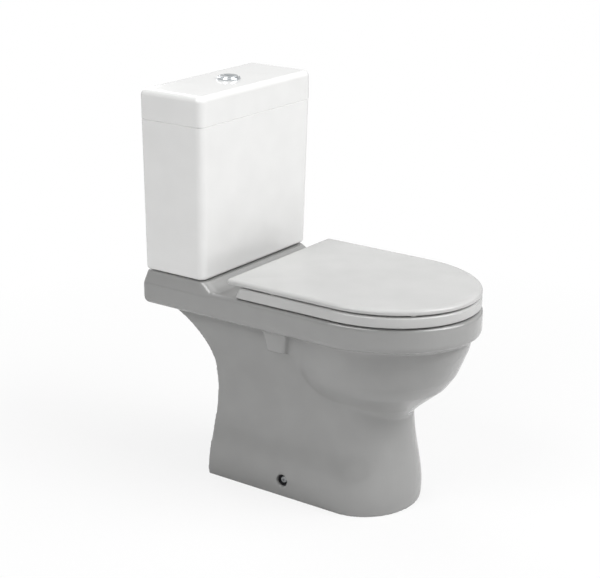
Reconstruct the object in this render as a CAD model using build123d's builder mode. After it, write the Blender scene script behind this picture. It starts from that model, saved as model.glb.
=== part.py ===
"""Close-coupled toilet: pan, cistern, dual flush and fill valves, seat and lid.

Millimetres. X is the width, the rim's front points to -Y and +Z is up. The origin
is the centre of the bounding box on the floor.
"""

import os
from math import cos, hypot, sin, sqrt, tan

from build123d import *

os.makedirs("parts", exist_ok=True)

# Overall places
overrun = 2.0               # how far a cut runs past the face it leaves
wall_gap = 0.3              # stand-off between parts that move past each other
pan_back_y = 324.0          # back of the cistern shelf
rim_front_y = -324.0        # front of the rim
rim_top_z = 412.0
deck_z = 429.0              # top of the shelf, under the cistern
rear_corner = 8.0           # upright rear corners of the shelf, the cistern and its lid

# Pan: rim and skirt
rim_half_width = 172.5
rim_centre_y = -104.0       # where the straight sides meet the front half ellipse
skirt_height = 54.0
skirt_round = 17.0          # rounding of the skirt's lower edge
rim_round = 6.0             # rounding of the rim's upper edge
deck_rise_start = 10.0      # the slope of the deck starts this far below the rim's top
deck_inset = 7.0
deck_slope = 40.0           # run of the slope between the rim and the deck
deck_corner = 20.0

# Pan: pedestal
pedestal_half_width = 112.5
pedestal_front_y = -204.0
pedestal_back_y = 209.0
pedestal_wall = 12.0
# each row: height as a share of the skirt's lower edge, half width and front as shares of the foot's
pedestal_shares = (
    (0.00, 1.000, 1.000),
    (0.24, 0.941, 0.966),
    (0.57, 0.844, 0.828),
    (0.72, 0.978, 0.828),
    (1.01, 1.235, 0.828),
)
arch_waist_y = 197.0        # rear edge of the side walls where they are slimmest
arch_radius = 115.0
arch_start_z = 243.5

# Pan: bowl. Rows: height as a share of the skirt's lower edge, then half width, front and rear
# lengths as shares of the bowl's own sizes below
bowl_centre_y = -96.0
bowl_inset = 14.5           # from the rim's side to the bowl's, both at the top
bowl_front_inset = 9.5      # the same at the front
bowl_rear_length = 178.0
bowl_wall = 12.0
bowl_shares = (
    (1.010, 1.000, 1.000, 1.000),
    (0.838, 0.892, 0.890, 0.922),
    (0.684, 0.734, 0.680, 0.825),
    (0.600, 0.589, 0.545, 0.759),
    (0.461, 0.430, 0.355, 0.645),
    (0.290, 0.370, 0.284, 0.582),
    (0.215, 0.300, 0.215, 0.498),
)
rim_opening_inset = 32.0    # from the bowl's side to the opening's, both at the top
rim_opening_front_inset = 43.5
rim_opening_rear = 142.0    # from the bowl's centre to the opening's rear
rim_lip = 10.0              # wall of the lip that hangs round the opening
rim_lip_drop = 40.0
rim_top_wall = 10.0
lug_length = 54.0
lug_foot_length = 40.0
lug_centre_y = 13.0
lug_foot_centre_y = 17.0
lug_height = 44.0
lug_inset = 14.0            # from the skirt's side to the lug's face
lug_foot_inset = 25.0
lug_depth = 34.0

# Pan: trapway and outlet
trap_bore = 37.0            # radius of the water way
trap_wall = 9.0
trap_bend = 50.0
trap_low_z = 135.0
trap_crown_z = 258.0
trap_inlet_y = -70.0
trap_rise_y = -5.0
trap_crown_start_y = 50.0
trap_crown_end_y = 114.0
trap_drop_y = 150.0
outlet_z = 190.0
outlet_radius = 51.0
outlet_bore = 40.0
outlet_length = 46.0
outlet_end_y = 222.0

# Pan: shelf hollow, water duct and inlet
shelf_wall = 14.0
hollow_inset = 28.5         # from the rim's side to the shelf's hollow
hollow_front_y = 86.0
hollow_ledge = 9.0          # lip of the skirt that the pedestal's walls end on
rim_deck_wall = 12.0
duct_half_width = 36.0
duct_wall = 10.0
duct_height = 24.0
duct_floor_z = 374.0
flush_y = 240.0             # axis of the flush valve, the inlet and the button
inlet_recess_radius = 48.0
inlet_recess_depth = 24.0
inlet_radius = 31.0
inlet_ring_wall = 10.0

# Pan: fixing holes
seat_bolt_spacing = 155.0
hinge_y = 102.0
hinge_setback = 3.5         # how far the hinge's axis lies behind its stud
hinge_z = 430.0
seat_hole_radius = 7.0
side_hole_y = 25.0
side_hole_z = 34.0
side_recess_radius = 12.0
side_recess_depth = 8.0
side_hole_radius = 6.0

# Cistern
cistern_gap = 2.5           # between the deck and the cistern's underside
cistern_top_z = 732.0
cistern_overhang = 5.5      # on each side past the rim, at the top
cistern_taper = 7.0         # on each side, from the top to the bottom
cistern_front_bottom_y = 171.5
cistern_front_taper = 4.5
cistern_setback = 9.0       # from the shelf's back to the cistern's
cistern_corner = 16.0       # upright front corners
cistern_edge_round = 7.0
cistern_wall = 9.0
cistern_floor = 12.0
seam_chamfer = 1.2
lid_height = 58.0
lid_overhang = 0.5
lid_round = 12.0
lid_lip_gap = 3.0
lid_lip_wall = 6.0
lid_lip_drop = 10.0
wall_hole_spacing = 200.0
wall_hole_z = 660.0
wall_hole_radius = 4.0

# Flush button
button_hole_radius = 21.0
bezel_radius = 23.5
bezel_height = 5.0
bezel_round = 1.8
sleeve_radius = 20.5
sleeve_wall = 1.4
sleeve_drop = 26.0
sleeve_floor = 3.0
bezel_nut_radius = 28.0
bezel_nut_height = 8.0
nut_grips = 6
nut_grip_radius = 5.0
button_gap = 0.6
button_split_x = 4.0        # the full flush key is the larger one
button_height = 10.0
button_proud = 2.0
button_dome = 1.2
rod_offset = 9.0
rod_radius = 2.5
rod_hole_gap = 0.4
rod_clearance = 0.6
spring_wire = 0.45
spring_radius = 4.2
spring_turns = 5

# Flush valve
valve_flange_radius = 46.0
valve_flange_height = 5.0
valve_washer_height = 2.5
valve_tail_radius = 29.0
valve_tail_bore = 25.0
valve_tail_drop = 46.0
valve_seat_height = 4.0
valve_seat_wall = 3.0
valve_hole_gap = 1.5
frame_base_bore = 18.0
backnut_radius = 42.0
backnut_height = 10.0
tower_radius = 42.0
tower_wall = 3.0
tower_top_z = 640.0
tower_plate = 4.0
window_width = 34.0
window_height = 40.0
tube_radius = 14.0
tube_wall = 2.0
tube_rise = 36.0            # of the overflow tube above the tower
tube_guide_gap = 1.0
seal_radius = 31.0
seal_height = 3.0
seal_disc_height = 4.0
rocker_pivot_x = 22.0
rocker_rise = 64.0          # of the rockers' axles above the tower
rocker_reach = 44.0         # x of the rocker's lifting end
rocker_thickness = 5.0
rocker_width = 8.0
rocker_hub_radius = 6.0
rocker_end = 2.0            # how far the rocker runs on past its pads
axle_radius = 2.5
axle_gap = 0.05
frame_plate = 3.0
frame_inside = 16.0         # from the centre to each side plate
frame_half_length = 30.0
frame_head = 8.0
hook_thickness = 3.5
hook_width = 6.0
hook_gap = 0.6
hook_reach = 54.0
yoke_height = 5.0
yoke_wall = 1.6
float_rod_x = 58.0
half_float_radius = 12.0
half_float_height = 50.0
half_float_low_z = 560.0

# Fill valve
fill_shank_radius = 10.4775  # G 1/2 outside thread
fill_shank_drop = 54.0
shank_groove_depth = 0.8    # between the nut's stretch of the thread and the supply hose's
shank_groove_width = 2.0
fill_bore = 6.0
fill_flange_radius = 17.0
fill_flange_height = 4.0
fill_washer_radius = 16.5
fill_hole_radius = 11.5
fill_deck_hole_radius = 18.0
fill_nut_radius = 16.0
fill_nut_height = 9.0
fill_gap = 3.5              # between the coupling's wing nut and the fill valve's nut
riser_radius = 13.0
riser_top_z = 690.0
head_radius = 18.0
head_height = 24.0
float_radius = 28.0
float_gap = 0.5
float_wall = 3.0
float_height = 55.0
float_low_z = 605.0
float_travel = 14.0
float_rod_radius = 2.0
float_rod_dx = -14.0        # from the riser's axis
float_rod_dy = -23.0
lever_pivot_dx = 14.0
lever_pivot_z = 700.0
lever_thickness = 4.0
lever_width = 5.0
lever_pin_radius = 2.0
lever_hub_radius = 4.5
lever_gap = 0.8
ear_thickness = 3.0

# Coupling of cistern and pan
coupling_x = 72.5
coupling_bolt_radius = 4.0
coupling_head_radius = 10.0
coupling_head_height = 5.0
coupling_cone_radius = 11.0
coupling_cone_height = 5.0
cistern_bolt_hole_radius = 5.5
deck_bolt_hole_radius = 6.5
plate_washer_radius = 14.0
plate_washer_height = 2.0
wing_nut_hub_radius = 7.0
wing_nut_height = 9.0
wing_nut_span = 26.0
wing_nut_wing = 3.0
nut_gap = 0.1
bolt_tail = 14.0            # bolt that shows below its nut
doughnut_radius = 46.0
doughnut_bore = 30.0

# Seat and lid
seat_setback = 1.0          # from the rim's side to the seat's
seat_front_setback = 4.5
seat_centre_y = -124.0
ring_bottom_z = 415.0
ring_thickness = 21.0
ring_rear_bottom_y = 98.0
ring_rear_slant = 11.0
ring_corner = 8.0
ring_outer_round = 5.0
ring_inner_round = 7.0
ring_under_round = 3.0
ring_width = 63.5           # at the sides and in front
ring_hole_rear_y = 20.0
ring_hole_centre_y = -110.0
lid_bottom_z = 439.5
seat_lid_thickness = 12.0
seat_lid_rear_y = 116.5
seat_lid_corner = 8.0
seat_lid_round = 7.0
seat_lid_hollow = 4.5
seat_lid_border = 16.0
seat_lid_hinge_block = 40.0
seat_buffer_inset = 23.5    # from the seat's side
seat_buffer_rear_y = 20.0
seat_buffer_front_inset = 61.5
seat_buffer_front_share = 0.536  # x of the front buffers as a share of the seat's half width
buffer_radius = 7.0
lid_buffer_radius = 5.5
lid_buffer_rear_y = 10.0
lid_buffer_front_inset = 57.5

# Hinges
hinge_pin_radius = 4.0
bush_wall = 1.5
running_gap = 0.05
barrel_radius = 7.5
post_width = 14.0
side_gap = 1.0
lug_width = 12.0
post_foot_radius = 10.0
post_foot_height = 5.0
post_neck_width = 9.0
gasket_height = 2.0
stud_radius = 3.5
stud_drop = 44.0
cone_height = 6.0
cone_top_radius = 6.6
cone_radius = 12.0
hinge_notch_half_width = 24.0
hinge_notch_depth = 11.0
lug_neck = 5.0

# Floor fixing
bracket_thickness = 4.0
bracket_half_width = 18.0
bracket_height = 58.0
bracket_foot = 44.0
bracket_hole_radius = 4.0
bracket_hole_reach = 24.0   # from the upright plate to the floor hole
bracket_boss_radius = 9.0
side_screw_radius = 3.0
side_screw_length = 30.0
side_screw_head_radius = 6.5
side_screw_head_height = 4.0
screw_slot = 1.4
cup_washer_height = 1.5
cup_washer_gap = 0.4

# Worked out from the sizes above
bowl_half_width = rim_half_width - bowl_inset
bowl_front_length = bowl_centre_y - rim_front_y - bowl_front_inset
rim_opening_half_width = bowl_half_width - rim_opening_inset
rim_opening_front = bowl_front_length - rim_opening_front_inset
hollow_half_width = rim_half_width - hollow_inset
throat_half_width = pedestal_half_width * pedestal_shares[-1][1] - pedestal_wall
cistern_half_width_top = rim_half_width + cistern_overhang
cistern_half_width_bottom = cistern_half_width_top - cistern_taper
cistern_front_top_y = cistern_front_bottom_y - cistern_front_taper
cistern_back_y = pan_back_y - cistern_setback
fill_x = coupling_x + wing_nut_span / 2 + fill_gap + fill_nut_radius
tube_top_z = tower_top_z + tube_rise
rocker_pivot_z = tower_top_z + rocker_rise
seat_half_width = rim_half_width - seat_setback
seat_front_y = rim_front_y + seat_front_setback
ring_hole_half_width = seat_half_width - ring_width
ring_hole_front_y = seat_front_y + ring_width
stud_y = hinge_y - hinge_setback
skirt_bottom_z = rim_top_z - skirt_height
deck_start_z = rim_top_z - deck_rise_start
cistern_bottom_z = deck_z + cistern_gap
cistern_floor_z = cistern_bottom_z + cistern_floor
lid_top_z = cistern_top_z + lid_height
deck_front_y = cistern_front_bottom_y - deck_slope
hinge_x = seat_bolt_spacing / 2
upward = (Align.CENTER, Align.CENTER, Align.MIN)
downward = (Align.CENTER, Align.CENTER, Align.MAX)


def d_section(height, half_width, centre_y, front_y, rear_y, corner=0):
    """Half ellipse in front, straight sides and a rear edge, with sharp corners if corner is zero."""
    with BuildSketch(Plane.XY.offset(height)) as section:
        with BuildLine():
            EllipticalCenterArc((0, centre_y), half_width, centre_y - front_y, 180, arc_size=180)
            Polyline((half_width, centre_y), (half_width, rear_y), (-half_width, rear_y),
                     (-half_width, centre_y))
        make_face()
        if corner:
            fillet(section.vertices().group_by(Axis.Y)[-1], radius=corner)
    return section.sketch


def egg_section(height, half_width, centre_y, front, rear):
    """Two half ellipses of one width, of different lengths to the front and the rear."""
    with BuildSketch(Plane.XY.offset(height)) as section:
        with BuildLine():
            EllipticalCenterArc((0, centre_y), half_width, front, 180, arc_size=180)
            EllipticalCenterArc((0, centre_y), half_width, rear, 0, arc_size=180)
        make_face()
    return section.sketch


def box_section(height, half_width, front_y, rear_y, corner, rear_radius=None):
    """Rectangle with rounded corners, between two places along Y. The rear ones can differ or be sharp."""
    with BuildSketch(Plane.XY.offset(height)) as section:
        with Locations((0, (front_y + rear_y) / 2)):
            Rectangle(2 * half_width, rear_y - front_y)
        if rear_radius != 0:
            fillet(section.vertices().group_by(Axis.Y)[-1], radius=rear_radius or corner)
        fillet(section.vertices().group_by(Axis.Y)[0], radius=corner)
    return section.sketch


def plate_section(height, width, length, x, y):
    """Plain rectangle centred on a place."""
    with BuildSketch(Plane.XY.offset(height)) as section:
        with Locations((x, y)):
            Rectangle(width, length)
    return section.sketch


def inset(rows, wall):
    """Move each outline of a bowl inwards so that its wall keeps its thickness on a slope."""
    inner = []
    for index, row in enumerate(rows):
        below = rows[max(index - 1, 0)]
        above = rows[min(index + 1, len(rows) - 1)]
        rise = abs(above[0] - below[0])
        moved = [row[0]]
        for size, size_below, size_above in zip(row[1:], below[1:], above[1:]):
            moved.append(size - wall * hypot(rise, size_above - size_below) / rise)
        inner.append(moved)
    return inner


def ring_at(low_z, radius, bore, height, *places):
    """Upright rings of one size, one at each place, made as a finished piece."""
    with BuildPart() as rings:
        with Locations(*[(x, y, low_z) for x, y in places]):
            Cylinder(radius, height, align=upward)
            Cylinder(bore, height, align=upward, mode=Mode.SUBTRACT)
    return rings.part


def save(piece, label):
    """Name a finished piece and write it."""
    piece.label = label
    export_step(piece, f"parts/{label}.step")


# The pan
bowl_rows = [
    (
        skirt_bottom_z * height_share,
        bowl_half_width * width_share,
        bowl_front_length * front_share,
        bowl_rear_length * rear_share,
    )
    for height_share, width_share, front_share, rear_share in bowl_shares
]
cavity_rows = inset(bowl_rows, bowl_wall)[:-1]
mouth = cavity_rows[0]
lip_bottom_z = rim_top_z - rim_lip_drop
channel_top_z = rim_top_z - rim_top_wall
rim_deck_ceiling_z = rim_top_z - rim_deck_wall
duct_end_y = flush_y + inlet_radius


def bowl_sections(rows):
    """Egg outlines of the bowl, from the rim down to the sump."""
    return [egg_section(row[0], row[1], bowl_centre_y, row[2], row[3]) for row in rows]


def trap_path(start_y, end_y):
    """Centre line of the water way, from the sump over the weir to the outlet."""
    with BuildLine(Plane.YZ) as route:
        FilletPolyline(
            (start_y, trap_low_z),
            (trap_rise_y, trap_low_z),
            (trap_crown_start_y, trap_crown_z),
            (trap_crown_end_y, trap_crown_z),
            (trap_drop_y, outlet_z),
            (end_y, outlet_z),
            radius=trap_bend,
        )
    return route.wire()


def pedestal_sections(wall, rear_y, start_z):
    """Outlines of the pedestal, drawn in by a wall, with the lowest one at start_z."""
    sections = []
    for height_share, width_share, front_share in pedestal_shares:
        half_width = pedestal_half_width * width_share - wall
        front = (rim_centre_y - pedestal_front_y) * front_share - wall
        height = skirt_bottom_z * height_share or start_z
        with BuildSketch(Plane.XY.offset(height)) as section:
            with BuildLine():
                EllipticalCenterArc((0, rim_centre_y), half_width, front, 180, arc_size=180)
                Polyline((half_width, rim_centre_y), (half_width, rear_y),
                         (-half_width, rear_y), (-half_width, rim_centre_y))
            make_face()
        sections.append(section.sketch)
    return sections


def pedestal_half_width_at(height):
    """Half width of the pedestal's outside near the floor."""
    low, high = pedestal_shares[0], pedestal_shares[1]
    share = height / (skirt_bottom_z * high[0])
    return pedestal_half_width * (low[1] + (high[1] - low[1]) * share)


def arch_cut():
    """Everything behind the arch that the side walls end in."""
    centre_y = arch_waist_y + arch_radius
    top_z = arch_start_z + arch_radius
    far_y = max(pan_back_y, centre_y) + overrun
    with BuildSketch(Plane.YZ) as behind_arch:
        with BuildLine():
            Polyline((centre_y, top_z), (far_y, top_z), (far_y, -overrun),
                     (pedestal_back_y, -overrun), (pedestal_back_y, 0), (arch_waist_y, arch_start_z))
            CenterArc((centre_y, arch_start_z), arch_radius, 180, -90)
        make_face()
    return behind_arch.sketch


side_wall_x = pedestal_half_width_at(side_hole_z)

with BuildPart() as skirt_block:
    extrude(
        d_section(skirt_bottom_z, rim_half_width, rim_centre_y, rim_front_y, pan_back_y),
        amount=deck_start_z - skirt_bottom_z,
    )
    fillet(skirt_block.faces().sort_by(Axis.Z)[0].edges().sort_by(Axis.Y)[:-1], radius=skirt_round)
    fillet(skirt_block.faces().sort_by(Axis.Y)[-1].edges().sort_by(Axis.Z)[:-1], radius=rear_corner)

with BuildPart() as rim_block:
    extrude(
        d_section(deck_start_z, rim_half_width, rim_centre_y, rim_front_y,
                  deck_front_y + deck_slope, deck_corner),
        amount=deck_rise_start,
    )
    fillet(rim_block.faces().sort_by(Axis.Z)[-1].edges(), radius=rim_round)

with BuildPart() as pan:
    loft(pedestal_sections(0, pan_back_y, 0))
    extrude(arch_cut(), amount=2 * rim_half_width, both=True, mode=Mode.SUBTRACT)
    add(skirt_block.part)
    add(rim_block.part)
    loft([
        box_section(deck_start_z, rim_half_width, deck_front_y, pan_back_y, deck_corner, rear_corner),
        box_section(deck_z, rim_half_width - deck_inset, cistern_front_bottom_y - cistern_edge_round / 2,
                    pan_back_y - deck_inset, deck_corner, rear_corner),
    ])
    # bracket lugs under the skirt
    for side in (-1, 1):
        loft([
            plate_section(skirt_bottom_z - lug_height, lug_depth, lug_foot_length,
                          side * (rim_half_width - lug_foot_inset - lug_depth / 2), lug_foot_centre_y),
            plate_section(skirt_bottom_z + overrun, lug_depth, lug_length,
                          side * (rim_half_width - lug_inset - lug_depth / 2), lug_centre_y),
        ])
    # hollow of the pedestal and of the shelf
    loft(pedestal_sections(pedestal_wall, pan_back_y + overrun, -overrun), mode=Mode.SUBTRACT)
    extrude(
        box_section(skirt_bottom_z - overrun, throat_half_width, hollow_front_y,
                    pan_back_y - shelf_wall, deck_corner),
        amount=hollow_ledge + 2 * overrun, mode=Mode.SUBTRACT,
    )
    extrude(
        box_section(skirt_bottom_z + hollow_ledge, hollow_half_width, hollow_front_y,
                    pan_back_y - shelf_wall, deck_corner),
        amount=rim_deck_ceiling_z - skirt_bottom_z - hollow_ledge, mode=Mode.SUBTRACT,
    )
    extrude(
        box_section(rim_deck_ceiling_z - overrun, hollow_half_width, cistern_front_bottom_y,
                    pan_back_y - shelf_wall, deck_corner),
        amount=deck_z - shelf_wall - rim_deck_ceiling_z + overrun, mode=Mode.SUBTRACT,
    )
    # outsides of the bowl, the trapway, the outlet and the water duct
    loft(bowl_sections(bowl_rows))
    with BuildSketch(Plane((0, trap_rise_y - trap_bore, trap_low_z), x_dir=(1, 0, 0), z_dir=(0, 1, 0))):
        Circle(trap_bore + trap_wall)
    sweep(path=trap_path(trap_rise_y - trap_bore, outlet_end_y))
    with BuildSketch(Plane((0, outlet_end_y, outlet_z), x_dir=(1, 0, 0), z_dir=(0, -1, 0))):
        Circle(outlet_radius)
    extrude(amount=outlet_length)
    extrude(
        box_section(duct_floor_z - duct_wall, duct_half_width + duct_wall, mouth[3] + bowl_centre_y,
                    duct_end_y, duct_wall),
        amount=rim_top_z - rim_deck_wall / 2 - duct_floor_z + duct_wall,
    )
    with Locations((0, flush_y, duct_floor_z - duct_wall)):
        Cylinder(inlet_recess_radius + inlet_ring_wall, deck_z - overrun - duct_floor_z + duct_wall,
                 align=upward)
    # insides
    loft(bowl_sections(cavity_rows), mode=Mode.SUBTRACT)
    extrude(egg_section(mouth[0], mouth[1], bowl_centre_y, mouth[2], mouth[3]),
            amount=channel_top_z - mouth[0], mode=Mode.SUBTRACT)
    extrude(egg_section(lip_bottom_z, rim_opening_half_width + rim_lip, bowl_centre_y,
                        rim_opening_front + rim_lip, rim_opening_rear + rim_lip),
            amount=rim_lip_drop)
    extrude(egg_section(lip_bottom_z - overrun, rim_opening_half_width, bowl_centre_y,
                        rim_opening_front, rim_opening_rear),
            amount=rim_lip_drop + 2 * overrun, mode=Mode.SUBTRACT)
    with BuildSketch(Plane((0, trap_inlet_y, trap_low_z), x_dir=(1, 0, 0), z_dir=(0, 1, 0))):
        Circle(trap_bore)
    sweep(path=trap_path(trap_inlet_y, outlet_end_y + overrun), mode=Mode.SUBTRACT)
    with BuildSketch(Plane((0, outlet_end_y + overrun, outlet_z), x_dir=(1, 0, 0), z_dir=(0, -1, 0))):
        Circle(outlet_bore)
    extrude(amount=outlet_length, mode=Mode.SUBTRACT)
    extrude(
        box_section(duct_floor_z, duct_half_width, bowl_centre_y + rim_opening_rear + rim_lip + overrun,
                    duct_end_y, duct_wall / 2),
        amount=duct_height, mode=Mode.SUBTRACT,
    )
    with Locations((0, flush_y, deck_z + overrun)):
        Cylinder(inlet_recess_radius, inlet_recess_depth + overrun, align=downward, mode=Mode.SUBTRACT)
        Cylinder(inlet_radius, deck_z + overrun - duct_floor_z, align=downward, mode=Mode.SUBTRACT)
    # holes for fixings and the water supply
    with Locations((-coupling_x, flush_y, deck_z + overrun), (coupling_x, flush_y, deck_z + overrun)):
        Cylinder(deck_bolt_hole_radius, 2 * shelf_wall, align=downward, mode=Mode.SUBTRACT)
    with Locations((fill_x, flush_y, deck_z + overrun)):
        Cylinder(fill_deck_hole_radius, 2 * shelf_wall, align=downward, mode=Mode.SUBTRACT)
    with Locations((-hinge_x, stud_y, rim_top_z + overrun), (hinge_x, stud_y, rim_top_z + overrun)):
        Cylinder(seat_hole_radius, rim_deck_wall + 2 * overrun, align=downward, mode=Mode.SUBTRACT)
    with Locations(Plane((0, side_hole_y, side_hole_z), z_dir=(1, 0, 0))):
        Cylinder(side_hole_radius, 2 * rim_half_width, mode=Mode.SUBTRACT)
    for side in (-1, 1):
        with BuildSketch(Plane((side * (side_wall_x - side_recess_depth), side_hole_y, side_hole_z),
                               z_dir=(side, 0, 0))):
            Circle(side_recess_radius)
        extrude(amount=side_recess_depth + bowl_wall, mode=Mode.SUBTRACT)
save(pan.part, "pan")


# The cistern
cistern_rear_wall_y = cistern_back_y - cistern_wall

with BuildPart() as cistern_tank:
    loft([
        box_section(cistern_bottom_z, cistern_half_width_bottom, cistern_front_bottom_y, cistern_back_y,
                    cistern_corner, rear_corner),
        box_section(cistern_top_z - seam_chamfer, cistern_half_width_top, cistern_front_top_y,
                    cistern_back_y, cistern_corner, rear_corner),
    ])
    fillet(cistern_tank.faces().sort_by(Axis.Z)[0].edges(), radius=cistern_edge_round)
    loft([
        box_section(cistern_top_z - seam_chamfer, cistern_half_width_top, cistern_front_top_y,
                    cistern_back_y, cistern_corner, rear_corner),
        box_section(cistern_top_z, cistern_half_width_top - seam_chamfer,
                    cistern_front_top_y + seam_chamfer, cistern_back_y - seam_chamfer,
                    cistern_corner - seam_chamfer, rear_corner - seam_chamfer),
    ])
    loft([
        box_section(cistern_floor_z, cistern_half_width_bottom - cistern_wall,
                    cistern_front_bottom_y + cistern_wall, cistern_rear_wall_y,
                    cistern_corner - cistern_wall),
        box_section(cistern_top_z + overrun, cistern_half_width_top - cistern_wall,
                    cistern_front_top_y + cistern_wall, cistern_rear_wall_y,
                    cistern_corner - cistern_wall),
    ], mode=Mode.SUBTRACT)
    with Locations((0, flush_y, cistern_floor_z + overrun)):
        Cylinder(valve_tail_radius + valve_hole_gap, cistern_floor + 2 * overrun,
                 align=downward, mode=Mode.SUBTRACT)
    with Locations((fill_x, flush_y, cistern_floor_z + overrun)):
        Cylinder(fill_hole_radius, cistern_floor + 2 * overrun, align=downward, mode=Mode.SUBTRACT)
    with Locations((-coupling_x, flush_y, cistern_floor_z + overrun),
                   (coupling_x, flush_y, cistern_floor_z + overrun)):
        Cylinder(cistern_bolt_hole_radius, cistern_floor + 2 * overrun, align=downward, mode=Mode.SUBTRACT)
    for side in (-1, 1):
        with BuildSketch(Plane((side * wall_hole_spacing / 2, cistern_back_y + overrun, wall_hole_z),
                               z_dir=(0, -1, 0))):
            Circle(wall_hole_radius)
        extrude(amount=cistern_wall + 2 * overrun, mode=Mode.SUBTRACT)
save(cistern_tank.part, "cistern_tank")

lid_half_width = cistern_half_width_top + lid_overhang
lid_front_y = cistern_front_top_y - lid_overhang
lip_inset = cistern_wall + lid_lip_gap

with BuildPart() as cistern_lid:
    extrude(
        box_section(cistern_top_z, lid_half_width, lid_front_y, cistern_back_y, cistern_corner, 0),
        amount=lid_height,
    )
    fillet(cistern_lid.faces().sort_by(Axis.Z)[-1].edges().sort_by(Axis.Y)[:-1], radius=lid_round)
    fillet(cistern_lid.faces().sort_by(Axis.Y)[-1].edges().sort_by(Axis.Z)[1:], radius=rear_corner)
    chamfer(cistern_lid.faces().sort_by(Axis.Z)[0].edges(), length=seam_chamfer)
    extrude(
        box_section(cistern_top_z - lid_lip_drop, cistern_half_width_top - lip_inset,
                    cistern_front_top_y + lip_inset, cistern_back_y - lip_inset, lid_lip_gap),
        amount=lid_lip_drop + cistern_wall,
    )
    extrude(
        box_section(cistern_top_z - lid_lip_drop - overrun, cistern_half_width_top - lip_inset - lid_lip_wall,
                    cistern_front_top_y + lip_inset + lid_lip_wall,
                    cistern_back_y - lip_inset - lid_lip_wall, lid_lip_gap),
        amount=lid_lip_drop + overrun + lid_height - cistern_wall, mode=Mode.SUBTRACT,
    )
    with Locations((0, flush_y, lid_top_z + overrun)):
        Cylinder(button_hole_radius, cistern_wall + 2 * overrun, align=downward, mode=Mode.SUBTRACT)
save(cistern_lid.part, "cistern_lid")

# The flush button
sleeve_bore = sleeve_radius - sleeve_wall
lid_underside_z = lid_top_z - cistern_wall
bezel_floor_z = lid_top_z - sleeve_drop
key_radius = sleeve_bore - wall_gap

with BuildPart() as button_bezel:
    with Locations((0, flush_y, lid_top_z)):
        Cylinder(bezel_radius, bezel_height, align=upward)
    fillet(button_bezel.faces().sort_by(Axis.Z)[-1].edges(), radius=bezel_round)
    with Locations((0, flush_y, bezel_floor_z)):
        Cylinder(sleeve_radius, sleeve_drop, align=upward)
    with Locations((0, flush_y, bezel_floor_z + sleeve_floor)):
        Cylinder(sleeve_bore, sleeve_drop + bezel_height, align=upward, mode=Mode.SUBTRACT)
    with Locations((-rod_offset, flush_y, bezel_floor_z - overrun),
                   (rod_offset, flush_y, bezel_floor_z - overrun)):
        Cylinder(rod_radius + rod_hole_gap, sleeve_floor + 2 * overrun, align=upward, mode=Mode.SUBTRACT)
save(button_bezel.part, "button_bezel")

with BuildPart() as bezel_nut:
    with BuildSketch(Plane.XY.offset(lid_underside_z)):
        with Locations((0, flush_y)):
            Circle(bezel_nut_radius)
            with PolarLocations(bezel_nut_radius + nut_grip_radius / 2, nut_grips):
                Circle(nut_grip_radius, mode=Mode.SUBTRACT)
            Circle(sleeve_radius + nut_gap, mode=Mode.SUBTRACT)
    extrude(amount=-bezel_nut_height)
save(bezel_nut.part, "bezel_nut")

key_top_z = lid_top_z + bezel_height + button_proud
key_bottom_z = key_top_z - button_height
rod_tip_z = rocker_pivot_z + rocker_thickness / 2 + rod_clearance
spring_low_z = bezel_floor_z + sleeve_floor + spring_wire + wall_gap
spring_rise = key_bottom_z - spring_low_z - spring_wire - wall_gap

for side, flush_name in ((-1, "full"), (1, "half")):
    with BuildPart() as flush_key:
        with BuildSketch(Plane.XY.offset(key_bottom_z)):
            with Locations((0, flush_y)):
                Circle(key_radius)
            with Locations((button_split_x + side * button_gap / 2, flush_y)):
                Rectangle(2 * key_radius + button_split_x, 2 * key_radius,
                          align=(Align.MAX if side > 0 else Align.MIN, Align.CENTER), mode=Mode.SUBTRACT)
        extrude(amount=button_height)
        fillet(flush_key.faces().sort_by(Axis.Z)[-1].edges(), radius=button_dome)
    save(flush_key.part, f"{flush_name}_flush_button")

    with BuildPart() as push_rod:
        with Locations((side * rod_offset, flush_y, rod_tip_z + rod_radius)):
            Cylinder(rod_radius, key_bottom_z - rod_tip_z - rod_radius, align=upward)
            Sphere(rod_radius)
    save(push_rod.part, f"{flush_name}_push_rod")

    with BuildPart() as button_spring:
        with BuildLine() as coil:
            Helix(spring_rise / spring_turns, spring_rise, spring_radius,
                  center=(side * rod_offset, flush_y, spring_low_z))
        with BuildSketch(Plane(origin=coil.line @ 0, z_dir=coil.line % 0)):
            Circle(spring_wire)
        sweep(is_frenet=True)
    save(button_spring.part, f"{flush_name}_button_spring")

# The flush valve
valve_flange_z = cistern_floor_z + valve_washer_height
valve_deck_z = valve_flange_z + valve_flange_height
seat_top_z = valve_deck_z + valve_seat_height
seal_low_z = seat_top_z + wall_gap
seal_disc_z = seal_low_z + seal_height
backnut_low_z = cistern_bottom_z - backnut_height
recess_floor_z = deck_z - inlet_recess_depth
tower_plate_top_z = tower_top_z + tower_plate
hook_z = rocker_pivot_z + rocker_thickness / 2 + hook_gap
flush_centre = (0, flush_y)

with BuildPart() as flush_valve_base:
    with Locations((0, flush_y, valve_flange_z)):
        Cylinder(valve_flange_radius, valve_flange_height, align=upward)
        Cylinder(valve_tail_radius, valve_tail_drop, align=downward)
    with Locations((0, flush_y, valve_deck_z)):
        Cylinder(valve_tail_bore + valve_seat_wall, valve_seat_height, align=upward)
    with Locations((0, flush_y, valve_flange_z - valve_tail_drop - overrun)):
        Cylinder(valve_tail_bore, 2 * valve_tail_drop, align=upward, mode=Mode.SUBTRACT)
save(flush_valve_base.part, "flush_valve_base")

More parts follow.
